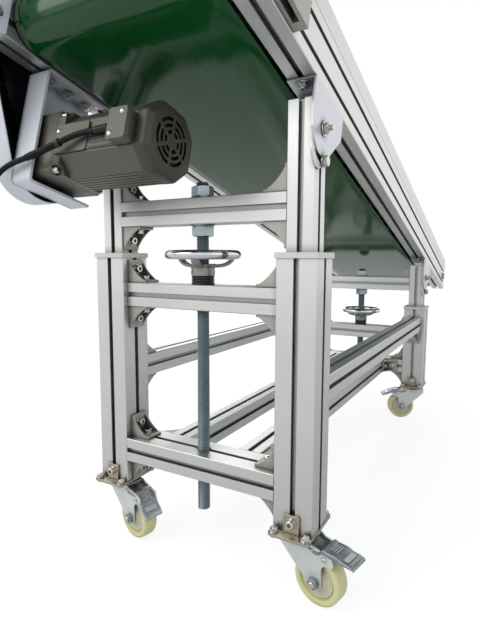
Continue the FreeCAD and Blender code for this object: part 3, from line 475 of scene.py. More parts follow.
def make_finishes():
    # All finishes but the belt's carry painted shade from ambient occlusion in recesses and next to other
    # parts
    long = 90.0
    anodised("profile_z", (1, 1, long))
    anodised("profile_x", (long, 1, 1))
    anodised("profile_y", (1, long, 1))
    anodised("profile_bed", (1, long, 1), -bed_tilt, (228, 229, 227))
    anodised("guard", (1, long, 1), -bed_tilt, (222, 223, 222))
    finish("bracket", (188, 186, 179), 0.42, 0.7, 0.0011, tint=0.07, spread=0.08, relief=0.035, patches=14,
           shade_factor=0.16)
    finish("cap", (238, 235, 228), 0.5, 0.2, 0.0009, tint=0.03, patches=40, shade_factor=0.6)
    finish("zinc", (196, 203, 208), 0.3, 0.9, 0.0035, tint=0.09, spread=0.09, patches=4)
    finish("pedal", (152, 164, 169), 0.32, 0.9, 0.0035, tint=0.16, spread=0.1, patches=3)
    finish("zinc_light", (238, 242, 241), 0.36, 0.6, 0.003, tint=0.06, spread=0.08, patches=5)
    finish("nickel", (194, 186, 168), 0.27, 0.95, 0.0016, (1, 6, 1), tint=0.1, spread=0.08, relief=0.012,
           patches=9, shade_factor=0.55)
    finish("bright", (226, 223, 216), 0.2, 1.0, 0.0012, tint=0.08, spread=0.07, relief=0.01, patches=6,
           shade_factor=0.5)
    finish("nut", (166, 177, 182), 0.24, 0.95, 0.0015, tint=0.12, spread=0.07, relief=0.01, patches=6)
    finish("screw", (172, 190, 198), 0.38, 0.7, 0.0011, tint=0.16, spread=0.08, relief=0.01, patches=20)
    finish("chrome", (226, 228, 230), 0.06, 1.0, 0.002, tint=0.03, spread=0.03, relief=0.003, patches=10)
    finish("satin", (172, 171, 166), 0.4, 0.95, 0.0012, tint=0.08, spread=0.08, relief=0.03, patches=8)
    finish("black", (30, 29, 28), 0.38, 0.0, 0.0009, tint=0.15)
    finish("shadow", (17, 17, 17), 0.7, 0.0, 0.002, tint=0.2, relief=0.03)
    finish("tread", (238, 235, 180), 0.42, 0.0, 0.003, spread=0.08, relief=0.03, patches=6, shade_factor=0.65,
           Subsurface_Weight=0.12, Subsurface_Scale=0.004)
    finish("hub", (230, 225, 198), 0.46, 0.0, 0.0025, tint=0.04, spread=0.06, relief=0.03, patches=6,
           shade_factor=0.6)
    finish("belt", (8, 74, 30), 0.13, 0.0, 0.004, (1, 2, 1), -bed_tilt, tint=0.08, spread=0.012,
           relief=0.0002, patches=60, shade_factor=1, Specular_IOR_Level=0.5)
    finish("roller", (176, 178, 180), 0.28, 1.0, 0.0012, (1, 30, 30), tint=0.08, relief=0.01, patches=30)
    finish("white", (226, 230, 238), 0.4, 0.0, 0.0014, tint=0.02, spread=0.06, relief=0.03, patches=60,
           Coat_Weight=0.15, Coat_Roughness=0.3)
    # painted shade for the chain guard's inside faces, which lie in shadow
    finish("navy", (30, 33, 42), 0.55, 0.0, 0.003, tint=0.15, spread=0.08, relief=0.04, patches=20)
    # the plates' painted shade is the deepest, so their slot and edges show dark
    finish("plate", (226, 228, 234), 0.36, 0.6, 0.002, tint=0.04, spread=0.08, relief=0.012, patches=18,
           shade_factor=0.1, darkest=0.66)
    finish("motor", (98, 95, 86), 0.38, 0.15, 0.0009, tint=0.06, spread=0.07, relief=0.045, patches=40,
           Coat_Weight=0.1, Coat_Roughness=0.35)
    finish("fan", (70, 68, 62), 0.4, 0.1, 0.0009, tint=0.07, spread=0.07, relief=0.045, patches=40)
    finish("chain", (44, 42, 40), 0.32, 0.8, 0.0014, tint=0.3, spread=0.1, relief=0.03, patches=4)
    finish("lead", (8, 8, 9), 0.45, 0.0, 0.0016, tint=0.18, spread=0.08, relief=0.16, patches=3,
           Specular_IOR_Level=0.22)


finishes = {}
make_finishes()

solids_kept = {
    "profile_z": ("outer_legs_front", "outer_legs_rear", "inner_legs_front", "inner_legs_rear"),
    "profile_x": ("low_cross_bars", "middle_cross_bars", "lift_bar_front", "lift_bar_rear", "bed_cross_bars"),
    "profile_y": ("high_side_beams", "low_side_beams"),
    "profile_bed": ("rail_left", "rail_right"),
    "guard": ("side_guards",),
    "roller": ("drive_roller", "tail_roller"),
    "plate": ("bed_plate", "swivel_plates_front", "swivel_plates_rear"),
    "white": ("end_plates",),
    "bracket": ("take_up_block",),
    "nut": ("slide_nuts_rear",),
}


def dress_solids():
    """Gives the solids that stay their finishes and the small rounded edges of drawn and pressed metal."""
    for key, names in solids_kept.items():
        for name in names:
            piece = frame["nodes"][name]
            slots = piece.data.materials
            for k in range(len(slots)):
                slots[k] = finishes[key]
            piece.modifiers.new("weld", "WELD").merge_threshold = 1e-6
            ease(piece, 0.3, 50)


dress_solids()


# Camera and light
def make_camera():
    """The photograph's view: place in the stand's millimetres, angles in degrees."""
    place = Vector((422.135, -623.275, 491.609))
    heading, below_level, roll = 29.6859, 6.1106, 0.1998
    turn = Matrix.Identity(4)
    for angle, axis in ((heading, "Z"), (90 - below_level, "X"), (roll, "Z")):
        turn = turn @ Matrix.Rotation(math.radians(angle), 4, axis)
    data = bpy.data.cameras.new("camera")
    data.sensor_width = 36.0
    data.lens = 27.787
    data.clip_start = 0.01
    camera = bpy.data.objects.new("camera", data)
    camera.matrix_world = Matrix.Translation(stand @ place) @ turn
    bpy.context.scene.collection.objects.link(camera)
    bpy.context.scene.camera = camera


def make_lamp(name, place, aim, size, power):
    data = bpy.data.lights.new(name, "AREA")
    data.shape = "DISK"
    data.size = size
    data.energy = power
    lamp = bpy.data.objects.new(name, data)
    direction = Vector(aim) - Vector(place)
    lamp.matrix_world = Matrix.Translation(place) @ direction.to_track_quat("-Z", "Y").to_matrix().to_4x4()
    bpy.context.scene.collection.objects.link(lamp)


def make_world():
    """White for the camera and for reflections near the horizon, dimmer overhead, plain light elsewhere."""
    world = bpy.data.worlds.new("studio")
    bpy.context.scene.world = world
    world.use_nodes = True
    tree = world.node_tree
    ray = add_node(tree, "LightPath").outputs
    height = add_node(tree, "SeparateXYZ", add_node(tree, "TexCoord").outputs["Generated"]).outputs["Z"]
    ramp = add_node(tree, "ValToRGB", height)
    ladder = ramp.color_ramp.elements
    for position in (0.42, 0.62):
        ladder.new(position)
    for element, value in zip(ladder, (1.0, 1.0, 0.34, 0.5)):
        element.color = (value, value, value, 1)
    mirror = add_node(tree, "Math", ray["Is Glossy Ray"], ray["Is Transmission Ray"], operation="MAXIMUM")
    soft = add_node(tree, "Mix", data_type="RGBA", Factor=mirror.outputs["Value"], A=(0.56, 0.57, 0.58, 1),
                    B=ramp.outputs["Color"])
    whole = add_node(tree, "Mix", data_type="RGBA", Factor=ray["Is Camera Ray"], A=soft.outputs["Result"],
                     B=(1, 1, 1, 1))
    feed(tree, tree.nodes["Background"].inputs["Color"], whole.outputs["Result"])


def make_floor():
    """White floor that shows as the background does, with the object's soft shadow."""
    reach = 9.0
    mesh = bpy.data.meshes.new("floor")
    mesh.from_pydata([(x, y, 0) for x, y in rectangle(2 * reach, 2 * reach)], [], [(0, 1, 2, 3)])
    floor = bpy.data.objects.new("floor", mesh)
    bpy.context.scene.collection.objects.link(floor)
    material = bpy.data.materials.new("floor")
    material.use_nodes = True
    tree = material.node_tree
    tree.nodes.remove(tree.nodes["Principled BSDF"])
    seen = add_node(tree, "LightPath").outputs["Is Camera Ray"]
    tone = add_node(tree, "Mix", data_type="RGBA", Factor=seen, A=(0.8, 0.8, 0.8, 1), B=(0.36, 0.36, 0.36, 1))
    diffuse = add_node(tree, "BsdfDiffuse", tone.outputs["Result"])
    level = add_node(tree, "Math", seen, 0.8, operation="MULTIPLY")
    glow = add_node(tree, "Emission", (1, 1, 1, 1), level.outputs["Value"])
    total = add_node(tree, "AddShader", diffuse.outputs["BSDF"], glow.outputs["Emission"])
    feed(tree, tree.nodes["Material Output"].inputs["Surface"], total.outputs["Shader"])
    mesh.materials.append(material)


make_camera()
make_world()
make_floor()
make_lamp("key", (-1.9, -3.1, 2.9), (0, -0.3, 0.5), 3.8, 54)
make_lamp("side", (3.4, -1.2, 1.9), (0, 0, 0.4), 2.4, 4)
make_lamp("back", (-1.7, 3.2, 2.7), (0, 0.2, 0.5), 3.0, 26)
bpy.context.scene.view_settings.view_transform = "Standard"


# Motor lead: the points of its route in the stand's millimetres
lead_radius = 3.75
lead_route = (
    (-40, -178, 650), (-62, -178, 650), (-84, -181.5, 645.5), (-106, -187, 637.5), (-130, -191.5, 630),
    (-156, -194, 624), (-182, -197, 619), (-204, -200, 609), (-220, -203, 591), (-228, -206, 562),
    (-232, -207, 528), (-234.5, -205, 488), (-238, -204, 442), (-240, -204.5, 392), (-243, -203, 340),
    (-248, -201.5, 288), (-251, -203, 236),
)


def gland_tip():
    """Middle of the gland's narrow end, where the lead leaves it."""
    middle = box_centre("lead_gland")
    middle.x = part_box("lead_gland")[0].x
    return middle


def route_curve(name, bevel):
    data = bpy.data.curves.new(name, "CURVE")
    data.dimensions = "3D"
    spline = data.splines.new("NURBS")
    spline.points.add(len(lead_route) - 1)
    shift = gland_tip() - stand @ Vector(lead_route[0])
    for point, place in zip(spline.points, lead_route):
        point.co = (stand @ Vector(place) + shift).to_4d()
    spline.order_u = 3
    spline.use_endpoint_u = True
    spline.resolution_u = 8
    data.bevel_depth = bevel
    data.bevel_resolution = 4
    data.use_fill_caps = True
    return bpy.data.objects.new(name, data)


def lead_line():
    """Points along the lead's own smooth line."""
    curve = route_curve("lead line", 0.0)
    mesh = bpy.data.meshes.new_from_object(curve)
    points = [v.co.copy() for v in mesh.vertices]
    bpy.data.objects.remove(curve)
    return points


def tube(points, radius, sides):
    """Tube in metres round a run of points, its radius in millimetres."""
    rings = []
    side = None
    for k, point in enumerate(points):
        ahead = (points[min(k + 1, len(points) - 1)] - points[max(k - 1, 0)]).normalized()
        side = side or ahead.orthogonal()
        side = (side - ahead * side.dot(ahead)).normalized()
        other = ahead.cross(side)
        circle = [polar(radius, a) for a in turns(sides)]
        rings.append([point + (side * x + other * y) * MM for x, y in circle])
    return loft(rings)


def make_lead():
    lead = route_curve("lead", lead_radius * MM)
    bpy.context.scene.collection.objects.link(lead)
    lead.data.materials.append(finishes["lead"])
    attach(lead, "bed")
    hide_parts("motor_lead")
    line = lead_line()
    lengths = [0.0]
    for a, b in zip(line, line[1:]):
        lengths.append(lengths[-1] + (b - a).length)
    collars = (  # name, start and end along the lead in metres, thickness, sides, finish, edge angle
        ("lead_sleeve", 0.062, 0.118, 0.9, 16, "lead", 50),
        ("lead_tie", 0.058, 0.066, 1.7, 20, "black", 30),
        ("lead_band", 0.096, 0.114, 1.15, 20, "lead", 30),
    )
    for name, start, end, thickness, sides, look, angle in collars:
        run = [p for p, d in zip(line, lengths) if start <= d <= end]
        shape = tube(run, lead_radius + thickness, sides)
        build(name, shape, Matrix(), "bed", look, angle=angle)
    plug = revolve([(0, 0), (5.2, 0), (6.5, 1.2), (6.5, 12), (8.1, 12), (8.5, 12.6), (8.5, 15), (7.8, 15.6),
                    (7.8, 17), (8.5, 17.6), (8.5, 20), (7.8, 20.6), (7.8, 22), (8.5, 22.6), (8.5, 33),
                    (7, 36), (5.2, 37.4), (5.2, 38), (0, 38)], 32)
    end = line[-1]
    place = move(end.x, end.y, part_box("lead_connector")[0].z) @ Matrix.Scale(MM, 4)
    build("lead_plug", plug, place, "bed", "black", "lead_connector")
    gland_tip()


make_lead()


# Corner brackets: die-cast, with an open recess between two cheeks and a screw on each plate
bracket_leg, bracket_width = 37.5, 34.0
bracket_plate, bracket_cheek = 4.0, 3.0
bracket_lip = 4.5             # plates beyond the cheeks
bracket_screw = 22.5          # from the corner


def bracket_casting():
    """Both legs and both cheeks as one closed shape, drawn about the middle of its width."""
    leg, plate, half = bracket_leg, bracket_plate, bracket_width / 2
    inner = half - bracket_cheek
    tip = leg - bracket_lip
    sag, steps = 2.6, 6
    slope = []
    for k in range(steps + 1):
        t = k / steps
        inward = sag * 4 * t * (1 - t) / math.sqrt(2)
        slope.append((tip + (plate - tip) * t - inward, plate + (tip - plate) * t - inward))
    cheek = [(0, 0), (leg, 0), (leg, plate)] + slope + [(plate, leg), (0, leg)]
    ring = list(range(len(cheek)))
    heel = len(cheek)
    count = heel + 1
    points = [(u, v, w) for w in (-half, -inner, inner, half) for u, v in cheek + [(plate, plate)]]
    first, last = 3, 3 + steps
    angle_ring = ring[:first + 1] + [heel] + ring[last:]
    faces = [tuple(reversed(ring)), tuple(i + 3 * count for i in ring)]
    for layer, loop in enumerate((ring, angle_ring, ring)):
        low, high = layer * count, (layer + 1) * count
        for a, b in zip(loop, loop[1:] + loop[:1]):
            faces.append((a + low, b + low, b + high, a + high))
    for layer in (1, 2):
        faces.append(tuple(i + layer * count for i in [heel] + ring[first:last + 1]))
    return Shape(points, faces)


def bracket_screws():
    head = on_washer(8.0, 1.4, socket_screw(6.3, 6.0, 6.2))
    far, near = bracket_screw, bracket_plate
    return copies(head, [facing((far, near, 0), Y), facing((near, far, 0), X)])


def bracket_place(corner, u, v):
    return columns(u, v, u.cross(v), corner)


def bar_places(reach, rows):
    """Brackets at both ends of cross bars; a row has its y, the bar's underside, 1 above and -1 below it."""
    return [bracket_place((side * reach, y, base + bar_size * (up > 0)), X * -side, Z * up)
            for y, base, ups in rows for side in SIDES for up in ups]


def beam_places():
    half = outer_size / 2
    places = []
    for y, outward, ups in ((half, 1, (1, -1)), (row_y["rear"] - half, -1, (-1,))):
        for side in SIDES:
            for up in ups:
                corner = (side * leg_x, y, high_beam + bar_size * (up > 0))
                places.append(bracket_place(corner, Y * outward, Z * up))
            corner = (side * low_beam_x, y, low_bar + bar_size / 2)
            places.append(bracket_place(corner, Y * outward, X * side))
    return places


def make_brackets():
    both, above = (1, -1), (1,)
    front, rear = row_y.values()
    cross_rows = ((front, low_bar, both), (front, middle_bar["front"], both), (rear, low_bar, both),
                  (rear, middle_bar["rear"], above))
    lift_reach = leg_x - inner_size / 2
    groups = (
        ("cross_bar", "cross_bar_brackets", "base", bar_places(leg_x - outer_size / 2, cross_rows)),
        ("beam", "beam_brackets", "base", beam_places()),
        ("lift_front", "lift_brackets_front", "front_frame",
         bar_places(lift_reach, [(front, top_bar["front"], both)])),
        ("lift_rear", "lift_brackets_rear", "rear_frame",
         bar_places(lift_reach, [(rear, top_bar["rear"], above)])),
    )
    for name, replaced, body, places in groups:
        castings = copies(bracket_casting(), places)
        build(name + "_castings", castings, stand, body, "bracket", replaced, bevel=0.5)
        build(name + "_screws", copies(bracket_screws(), places), stand, body, "bright")


make_brackets()


# Leg caps
def make_caps():
    overhang, bore, thickness = 2.25, inner_size + 0.8, 8.0
    size = outer_size + 2 * overhang
    plate = prism(rounded(rectangle(size, size), 2.0), thickness, [rounded(rectangle(bore, bore), 1.0)])
    caps = copies(plate, [move(x, y, leg_top[row]) for row, x, y in legs])
    build("caps", caps, stand, "base", "cap", "leg_caps", bevel=0.7)


make_caps()

# Lifting screws with the nuts and washers that hold the bar
screw_radius, screw_pitch = 10.0, 2.5


def make_lifting_screw(row):
    y = row_y[row]
    low, high = span("lifting_screw_" + row)
    rod = threaded(screw_radius, screw_pitch, high.z - low.z).at(0, y, low.z)
    nut = on_washer(18.5, 2.1, hexagon(30.0, 16.0)).finished(1)
    places = [facing((0, y, seat), Z * up, math.radians(8))
              for seat, up in ((top_bar[row] + bar_size, 1), (top_bar[row], -1))]
    build("screw_" + row, rod + copies(nut, places), stand, row + "_frame", "screw nut",
          "lifting_screw_" + row, angle=38)


make_lifting_screw("front")
make_lifting_screw("rear")

# Handwheels: chrome rim, dished spokes, hub on a bearing of three rings
rim_radius, rim_tube, rim_height = 52.6, 7.2, 33.0
spoke_first = 50.0
bearing_height = 13.0


def spoke(angle):
    """Strap with rounded edges that leaves the hub level and bends up into the rim."""
    path = ((15, 15.5), (24, 15.6), (33, 16.6), (41, 19.4), (47, 24.2), (51, 30.5), (52.5, 35))
    width, thickness = 13.0, 5.0
    section = rounded(rectangle(width, thickness), 2.0, 3)
    rings = []
    for k, (r, z) in enumerate(path):
        before, after = path[max(k - 1, 0)], path[min(k + 1, len(path) - 1)]
        ahead = Vector((after[0] - before[0], 0, after[1] - before[1])).normalized()
        lift = ahead.cross(Y)
        rings.append([Vector((r, 0, z)) + Y * a - lift * b for a, b in section])
    return loft(rings).moved(Matrix.Rotation(math.radians(angle), 4, "Z"))


def handwheel():
    ring = [(rim_radius + a, rim_height + b) for a, b in (polar(rim_tube, t) for t in turns(20))]
    bore = screw_radius + 0.4
    profile = [(bore, 0), (16.5, 0), (18.2, 0.8), (18.8, 2.6), (18.4, 11), (19.2, 13.6), (21.2, 15.4),
               (21.9, 17), (21.2, 18.4), (19, 19), (13.5, 19), (12.6, 18.2), (12, 17), (bore, 16.4)]
    hub = revolve(profile, 48, closed=True)
    spokes = [spoke(spoke_first + 120 * k) for k in range(3)]
    return revolve(ring, 72, closed=True) + joined([hub] + spokes).finished(1)


def thrust_bearing():
    bore = screw_radius + 1.5
    outer, neck = 18.0, 16.4
    ring, play = 3.6, 0.3
    gap = (bearing_height - 3 * ring - play) / 2
    profile = [(bore, 0)]
    for base in (0, ring + gap, 2 * (ring + gap)):
        profile += [(neck, base), (outer - 0.6, base + 0.05), (outer, base + 0.8), (outer, base + ring - 0.8),
                    (outer - 0.6, base + ring - 0.05), (neck, base + ring)]
    profile.append((bore, bearing_height - play))
    return revolve(profile, 48, closed=True)


def make_handwheels():
    seats = []
    for row, y in row_y.items():
        base = span("handwheel_" + row)[0].z
        build("wheel_rim_" + row, handwheel().at(0, y, base), stand, row + "_handwheel", "chrome satin",
              "handwheel_" + row, angle=42)
        seats.append(move(0, y, base - bearing_height))
    build("bearing_rings", copies(thrust_bearing(), seats), stand, "base", "black",
          "thrust_bearings", angle=40)


make_handwheels()

# Casters: mount plates on the legs, forks with brake pedals, cream wheels
wheel_radius, wheel_half = 37.5, 13.0
caster_trail = 37.0
mount_thickness = 4.0
mount_base = post_foot - mount_thickness
fork_top = mount_base - 6.5
fork_inner, fork_outer = wheel_half + 2.0, wheel_half + 5.0
crown_half = 27.0
pedal_turn = {"front_left": -26.0, "front_right": 12.0, "rear_left": 0.0, "rear_right": 0.0}
pedal_hinge = 44.0


def caster_mount():
    """Nickel plate with its two upright tongues, about the leg's middle."""
    plate = prism(rounded(rectangle(64.0, 96.0), 7.0), mount_thickness).at(z=mount_base)
    tongue = prism(rounded(corners((-12, 0), (12, 27)), [0, 0, 2.5, 2.5]), mount_thickness)
    face = outer_size / 2
    return plate + copies(tongue, [upright(0, y, post_foot) for y in (-face, face + mount_thickness)])


def mount_bolts():
    spots = [(a * 24.0, b * 39.5) for a in SIDES for b in SIDES]
    dome = revolve([(0, 7.4), (1.8, 7.2), (3.4, 6.4), (4.0, 5.2), (4.0, 1.0), (0, 1.0)], 20)
    head = on_washer(7.2, 1.2, hexagon(11.0, 4.2)) + dome
    side_bolt = on_washer(7.6, 1.3, socket_screw(6.0, 6.4, 5.6))
    face = outer_size / 2 + mount_thickness
    return joined([copies(head, [facing((x, y, post_foot), Z, 0.3) for x, y in spots]),
                   copies(hexagon(10.0, 3.6), [facing((x, y, mount_base), -Z, 0.5) for x, y in spots]),
                   copies(side_bolt, [facing((0, s * face, post_foot + 15.5), Y * s) for s in SIDES])])


def caster_race():
    """Pressed raceway under the mount plate."""
    profile = ((0, 0), (19, 0), (23, -0.6), (24, -2.2), (24, -5), (23, -6), (0, -6))
    return revolve(profile, 48).at(z=mount_base)


def caster_fork():
    """Two cheeks with a boss round the axle, the crown that joins them and the dome over it."""
    boss = arc_points((caster_trail, wheel_radius), 11.2, -137, 8, 10)
    inner_corner = arc_points((57, 59.5), 9.5, 176, 96, 6)
    cheek = ([(-crown_half, fork_top), (-crown_half, fork_top - 14)] + boss + inner_corner
             + [(64.5, 69.3), (66.5, 74), (64, 83.5), (50, 87), (34, 90.5), (crown_half, fork_top)])
    sheet = fork_outer - fork_inner
    cheeks = copies(prism(cheek, sheet), [upright(0, y, 0) for y in (-fork_inner, fork_outer)])
    crown = prism(rounded(rectangle(2 * crown_half, 2 * fork_outer), 5.0), sheet).at(z=fork_top - sheet)
    dome = revolve([(0, 0.1), (17, 0.1), (22, -1), (25.5, -3.4), (26, -6), (0, -6)], 48).at(z=fork_top)
    return joined([cheeks, crown, dome])


def pedal_path(degrees):
    """Middle line of the pedal's sheet, X ahead of the swivel and height, its tip turned up by degrees."""
    line = ((23, -1.6), (27, -3.6), (32, -6.2), (38, -7.6), (44, -6.6), (48, -4.6), (50.5, -3.6), (53, -4.6),
            (55, -6.4), (62, -8), (70, -10), (74, -12.4), (78, -15), (86, -17.6), (90.5, -19.6), (93, -21),
            (94.4, -23.4))
    path = [Vector((x, fork_top + z)) for x, z in line]
    hinge = next(p for p in path if p.x >= pedal_hinge)
    turn = Matrix.Rotation(math.radians(degrees), 2)
    return [hinge + turn @ (p - hinge) if p.x > pedal_hinge else p for p in path]


def pedal(degrees):
    """Pressed sheet with turned-down sides that rises over the housing and ends in a curved lip."""
    half, sheet = 18.0, 2.0
    rings = []
    for k, (x, z) in enumerate(pedal_path(degrees)):
        skirt = 7.0 - 0.75 * max(0, k - 9)
        outside = ((half, -skirt), (half, -1.6), (half - 0.6, -0.5), (half - 2, 0))
        inside = ((half - sheet, -skirt), (half - sheet, -3.2), (half - sheet - 1, -sheet))
        section = ([(-y, h) for y, h in outside] + list(reversed(outside)) + list(inside)
                   + [(-y, h) for y, h in reversed(inside)])
        rings.append([(x, y, z + h) for y, h in section])
    return loft(rings)


def pedal_place(x, degrees):
    """Place and slope on the turned pedal of the point that lies at x while it is level."""
    level, turned = pedal_path(0.0), pedal_path(degrees)
    k = next(i for i, p in enumerate(level) if p.x >= x)
    share = (x - level[k - 1].x) / (level[k].x - level[k - 1].x)
    spot, run = turned[k - 1].lerp(turned[k], share), turned[k] - turned[k - 1]
    return move(spot.x, 0, spot.y) @ Matrix.Rotation(-math.atan2(run.y, run.x), 4, "Y")


def pedal_marks(degrees):
    """Raised bars across the pedal, the square panel below them and the fine ribs at its lip."""
    marks = (  # places along the pedal, length, width, height of the pad
        ((56.5, 60.0, 63.5, 67.0), 1.7, 19.0, 1.3), ((81.5,), 8.0, 23.0, 0.9), ((88.3, 90.2), 0.9, 27.0, 0.8),
    )
    parts = []
    for places, length, width, height in marks:
        pad = prism(rounded(rectangle(length, width), 0.4 * min(length, 2.0), 2), height).at(z=-0.3)
        parts.append(copies(pad, [pedal_place(x, degrees) for x in places]))
    return joined(parts)


def fork_fasteners():
    axle = pin(5.9, -fork_outer - 5, fork_outer + 5, 24)
    bolt = on_washer(8.2, 1.2, hexagon(14.0, 6.0)).finished(1) + stud(4.6, 2.4).at(z=7.2)
    rivet = revolve([(0, 2.6), (2.2, 2.3), (3.6, 1.2), (3.9, 0), (0, 0)], 20)
    button = revolve([(0, 1.8), (1.4, 1.6), (2.2, 0.6), (2.3, 0), (0, 0)], 16)
    parts = [axle.moved(facing((caster_trail, 0, wheel_radius), Y))]
    for side in SIDES:
        for shape, x, z, spin in ((bolt, caster_trail, wheel_radius, 0.4), (rivet, 53, fork_top - 16, 0),
                                  (button, 33, fork_top - 9, 0)):
            parts.append(shape.moved(facing((x, side * fork_outer, z), Y * side, spin)))
    return joined(parts)


def caster_wheel():
    """Tread with rounded shoulders, a ring groove in each side, and the hub."""
    bore, hub, web, w, soft = 6.5, 15.0, 26.0, wheel_half, 4.5
    groove = w - 3.5

    def both_sides(profile, middle=()):
        return revolve(profile + list(middle) + [(r, -z) for r, z in reversed(profile)], 64, closed=True)

    shoulder = arc_points((wheel_radius - soft, w - soft), soft, 90, 0, 6)
    side = [(web + 0.6, groove - 1.2), (web + 1.4, groove + 0.4), (web + 2.2, w - 0.8), (web + 3.2, w - 0.2)]
    tread = both_sides(side + shoulder, [(wheel_radius, y) for y in (4, 0, -4)])
    core = both_sides([(bore, w), (hub - 1.2, w), (hub, w - 0.9), (hub + 0.8, groove + 0.6),
                       (hub + 1.6, groove), (web - 0.8, groove), (web + 0.6, groove - 1.2)])
    return (tread + core.finished(1)).moved(facing((caster_trail, 0, wheel_radius), Y))


def caster_place(name, x, y):
    """The fork's own frame, its X from the swivel to the wheel, turned as the wheel stands."""
    wheel = (box_centre("caster_wheel_" + name) - foot) / MM
    heading = math.atan2(wheel.y - y, wheel.x - x)
    return stand @ move(x, y, span("caster_wheel_" + name)[0].z) @ Matrix.Rotation(heading, 4, "Z")


def make_casters():
    places = [move(x, y) for _, x, y in legs]
    build("mount_plates", copies(caster_mount(), places), stand, "base", "nickel", "caster_mounts",
          bevel=0.6)
    build_bolts("mount_bolts", copies(mount_bolts(), places), stand, "base")
    build("mount_races", copies(caster_race(), places), stand, "base", "zinc", angle=40)
    for (name, degrees), (_, x, y) in zip(pedal_turn.items(), legs):
        place = caster_place(name, x, y)
        fork, wheel = "fork_" + name, "wheel_" + name
        rolling = caster_wheel()
        look = "zinc" if degrees < 0 else "pedal"
        build(fork + "_sheet", caster_fork(), place, fork, "zinc_light", "caster_" + fork, bevel=0.7)
        build(fork + "_pedal", pedal(degrees), place, fork, look, angle=50)
        build(fork + "_pedal_marks", pedal_marks(degrees), place, fork, "zinc_light", bevel=0.3)
        build(fork + "_fasteners", fork_fasteners(), place, fork, "bright nut", angle=38)
        build(wheel + "_tyre", rolling, place, wheel, "tread hub", "caster_" + wheel, angle=40)


make_casters()

# Belt: closed loop round both rollers, its return side hanging a little
belt_half, belt_thickness = 146.5, 2.0
drive_at, tail_at = -182.0, 1346.0
roller_radius, roller_height = 38.0, 40.0
return_sag = 5.0


def belt_line(radius):
    """Points of the loop, in the bed's plane along the belt."""
    top, bottom = roller_height + radius, roller_height - radius
    length, runs = tail_at - drive_at, 40
    line = [(drive_at + length * k / runs, top) for k in range(runs)]
    line += arc_points((tail_at, roller_height), radius, 90, -80, 17)
    for k in range(runs * 2):
        t = k / (runs * 2)
        line.append((tail_at - length * t, bottom - return_sag * 4 * t * (1 - t)))
    return line + arc_points((drive_at, roller_height), radius, 270, 100, 17)


def make_belt():
    across, edge = 20, 0.7
    inside = belt_half - edge
    sections = [-belt_half] + [-inside + 2 * inside * k / across for k in range(across + 1)] + [belt_half]
    rings = []
    for (s, n), (s_in, n_in) in zip(belt_line(roller_radius + belt_thickness), belt_line(roller_radius)):
        ring = []
        for x in sections:
            hem = 0.35 if abs(x) == belt_half else 0.0
            ripple = 0.25 * math.sin(x / 60 + s / 130) * math.sin(s / 75 + x / 90) if n < 0 else 0.0
            ring.append((x, s + (s_in - s) * hem, n + (n_in - n) * hem + ripple))
        rings.append(ring + [(x, s_in, n_in) for x in reversed(sections)])
    build("belt_band", loft(rings, closed=True), bed, "bed", "belt", "belt", angle=50)


make_belt()

# Motor, drawn about its own axis along X: bed place of the axis
motor_at, motor_below = -103.0, -107.7
motor_size = 90.0
gearbox_start, gearbox_end = -188.0, -126.0
flange_end, body_end, fan_end = -110.0, 18.0, 39.0


def on_axis(x):
    """Bed frame whose Z runs along the motor: X along the belt, Y square to the bed."""
    return crosswise(x, motor_at, motor_below)


def pocketed_square(size, pocket):
    """Square with a round pocket cut from each corner."""
    h = size / 2
    result = []
    for k, corner in enumerate(((h, h), (-h, h), (-h, -h), (h, -h))):
        result += arc_points(corner, pocket, 90 * k - 90, 90 * k - 180, 8)
    return result


def finned_outline():
    """Eight-sided body with shallow grooves along three of its flats."""
    outline = clipped_square(motor_size, 23.0)
    result = []
    depth, width, count = 1.4, 2.4, 6
    for k, start in enumerate(outline):
        a, b = Vector(start), Vector(outline[(k + 1) % len(outline)])
        result.append(start)
        if k in (0, 2, 4):
            ahead = (b - a).normalized()
            inward = Vector((-ahead.y, ahead.x))
            for i in range(count):
                middle = a + (b - a) * ((i + 0.5) / count)
                for share, sink in ((-1 / 2, 0), (-1 / 3, depth), (1 / 3, depth), (1 / 2, 0)):
                    result.append(tuple(middle + ahead * share * width + inward * sink))
    return result


def make_motor():
    square = rounded(clipped_square(motor_size, 4.0), 2.0, 2)
    shaft = revolve([(0, -34), (6.8, -34), (7.5, -33), (7.5, 1), (0, 1)], 24)
    gearbox = prism(square, gearbox_end - gearbox_start) + shaft
    place = bed @ on_axis(gearbox_start)
    build("gearbox_case", gearbox, place, "bed", "motor", "gearbox", bevel=1.0)
    rim, flange = 3.0, flange_end - gearbox_end
    case = joined([prism(square, rim), prism(pocketed_square(motor_size, 11.0), flange - rim).at(z=rim),
                   prism(finned_outline(), body_end - flange_end).at(z=flange)])
    place = bed @ on_axis(gearbox_end)
    build("motor_case", case, place, "bed", "motor", "motor_body", bevel=0.5, angle=40)
    screw = on_washer(4.9, 1.0, socket_screw(4.4, 7.5, 4.2))
    inset = motor_size / 2 - 6.5
    screws = copies(screw, [move(a * inset, b * inset, rim) for a in SIDES for b in SIDES])
    build_bolts("motor_screws", screws, place, "bed")


def fan_slot(inner, outer, bar_half, start):
    """One opening of the grille, between two bars."""
    def edge(radius):
        return math.degrees(math.asin(bar_half / radius))

    end = start + 60
    return (arc_points((0, 0), outer, start + edge(outer), end - edge(outer), 8)
            + arc_points((0, 0), inner, end - edge(inner), start + edge(inner), 6))


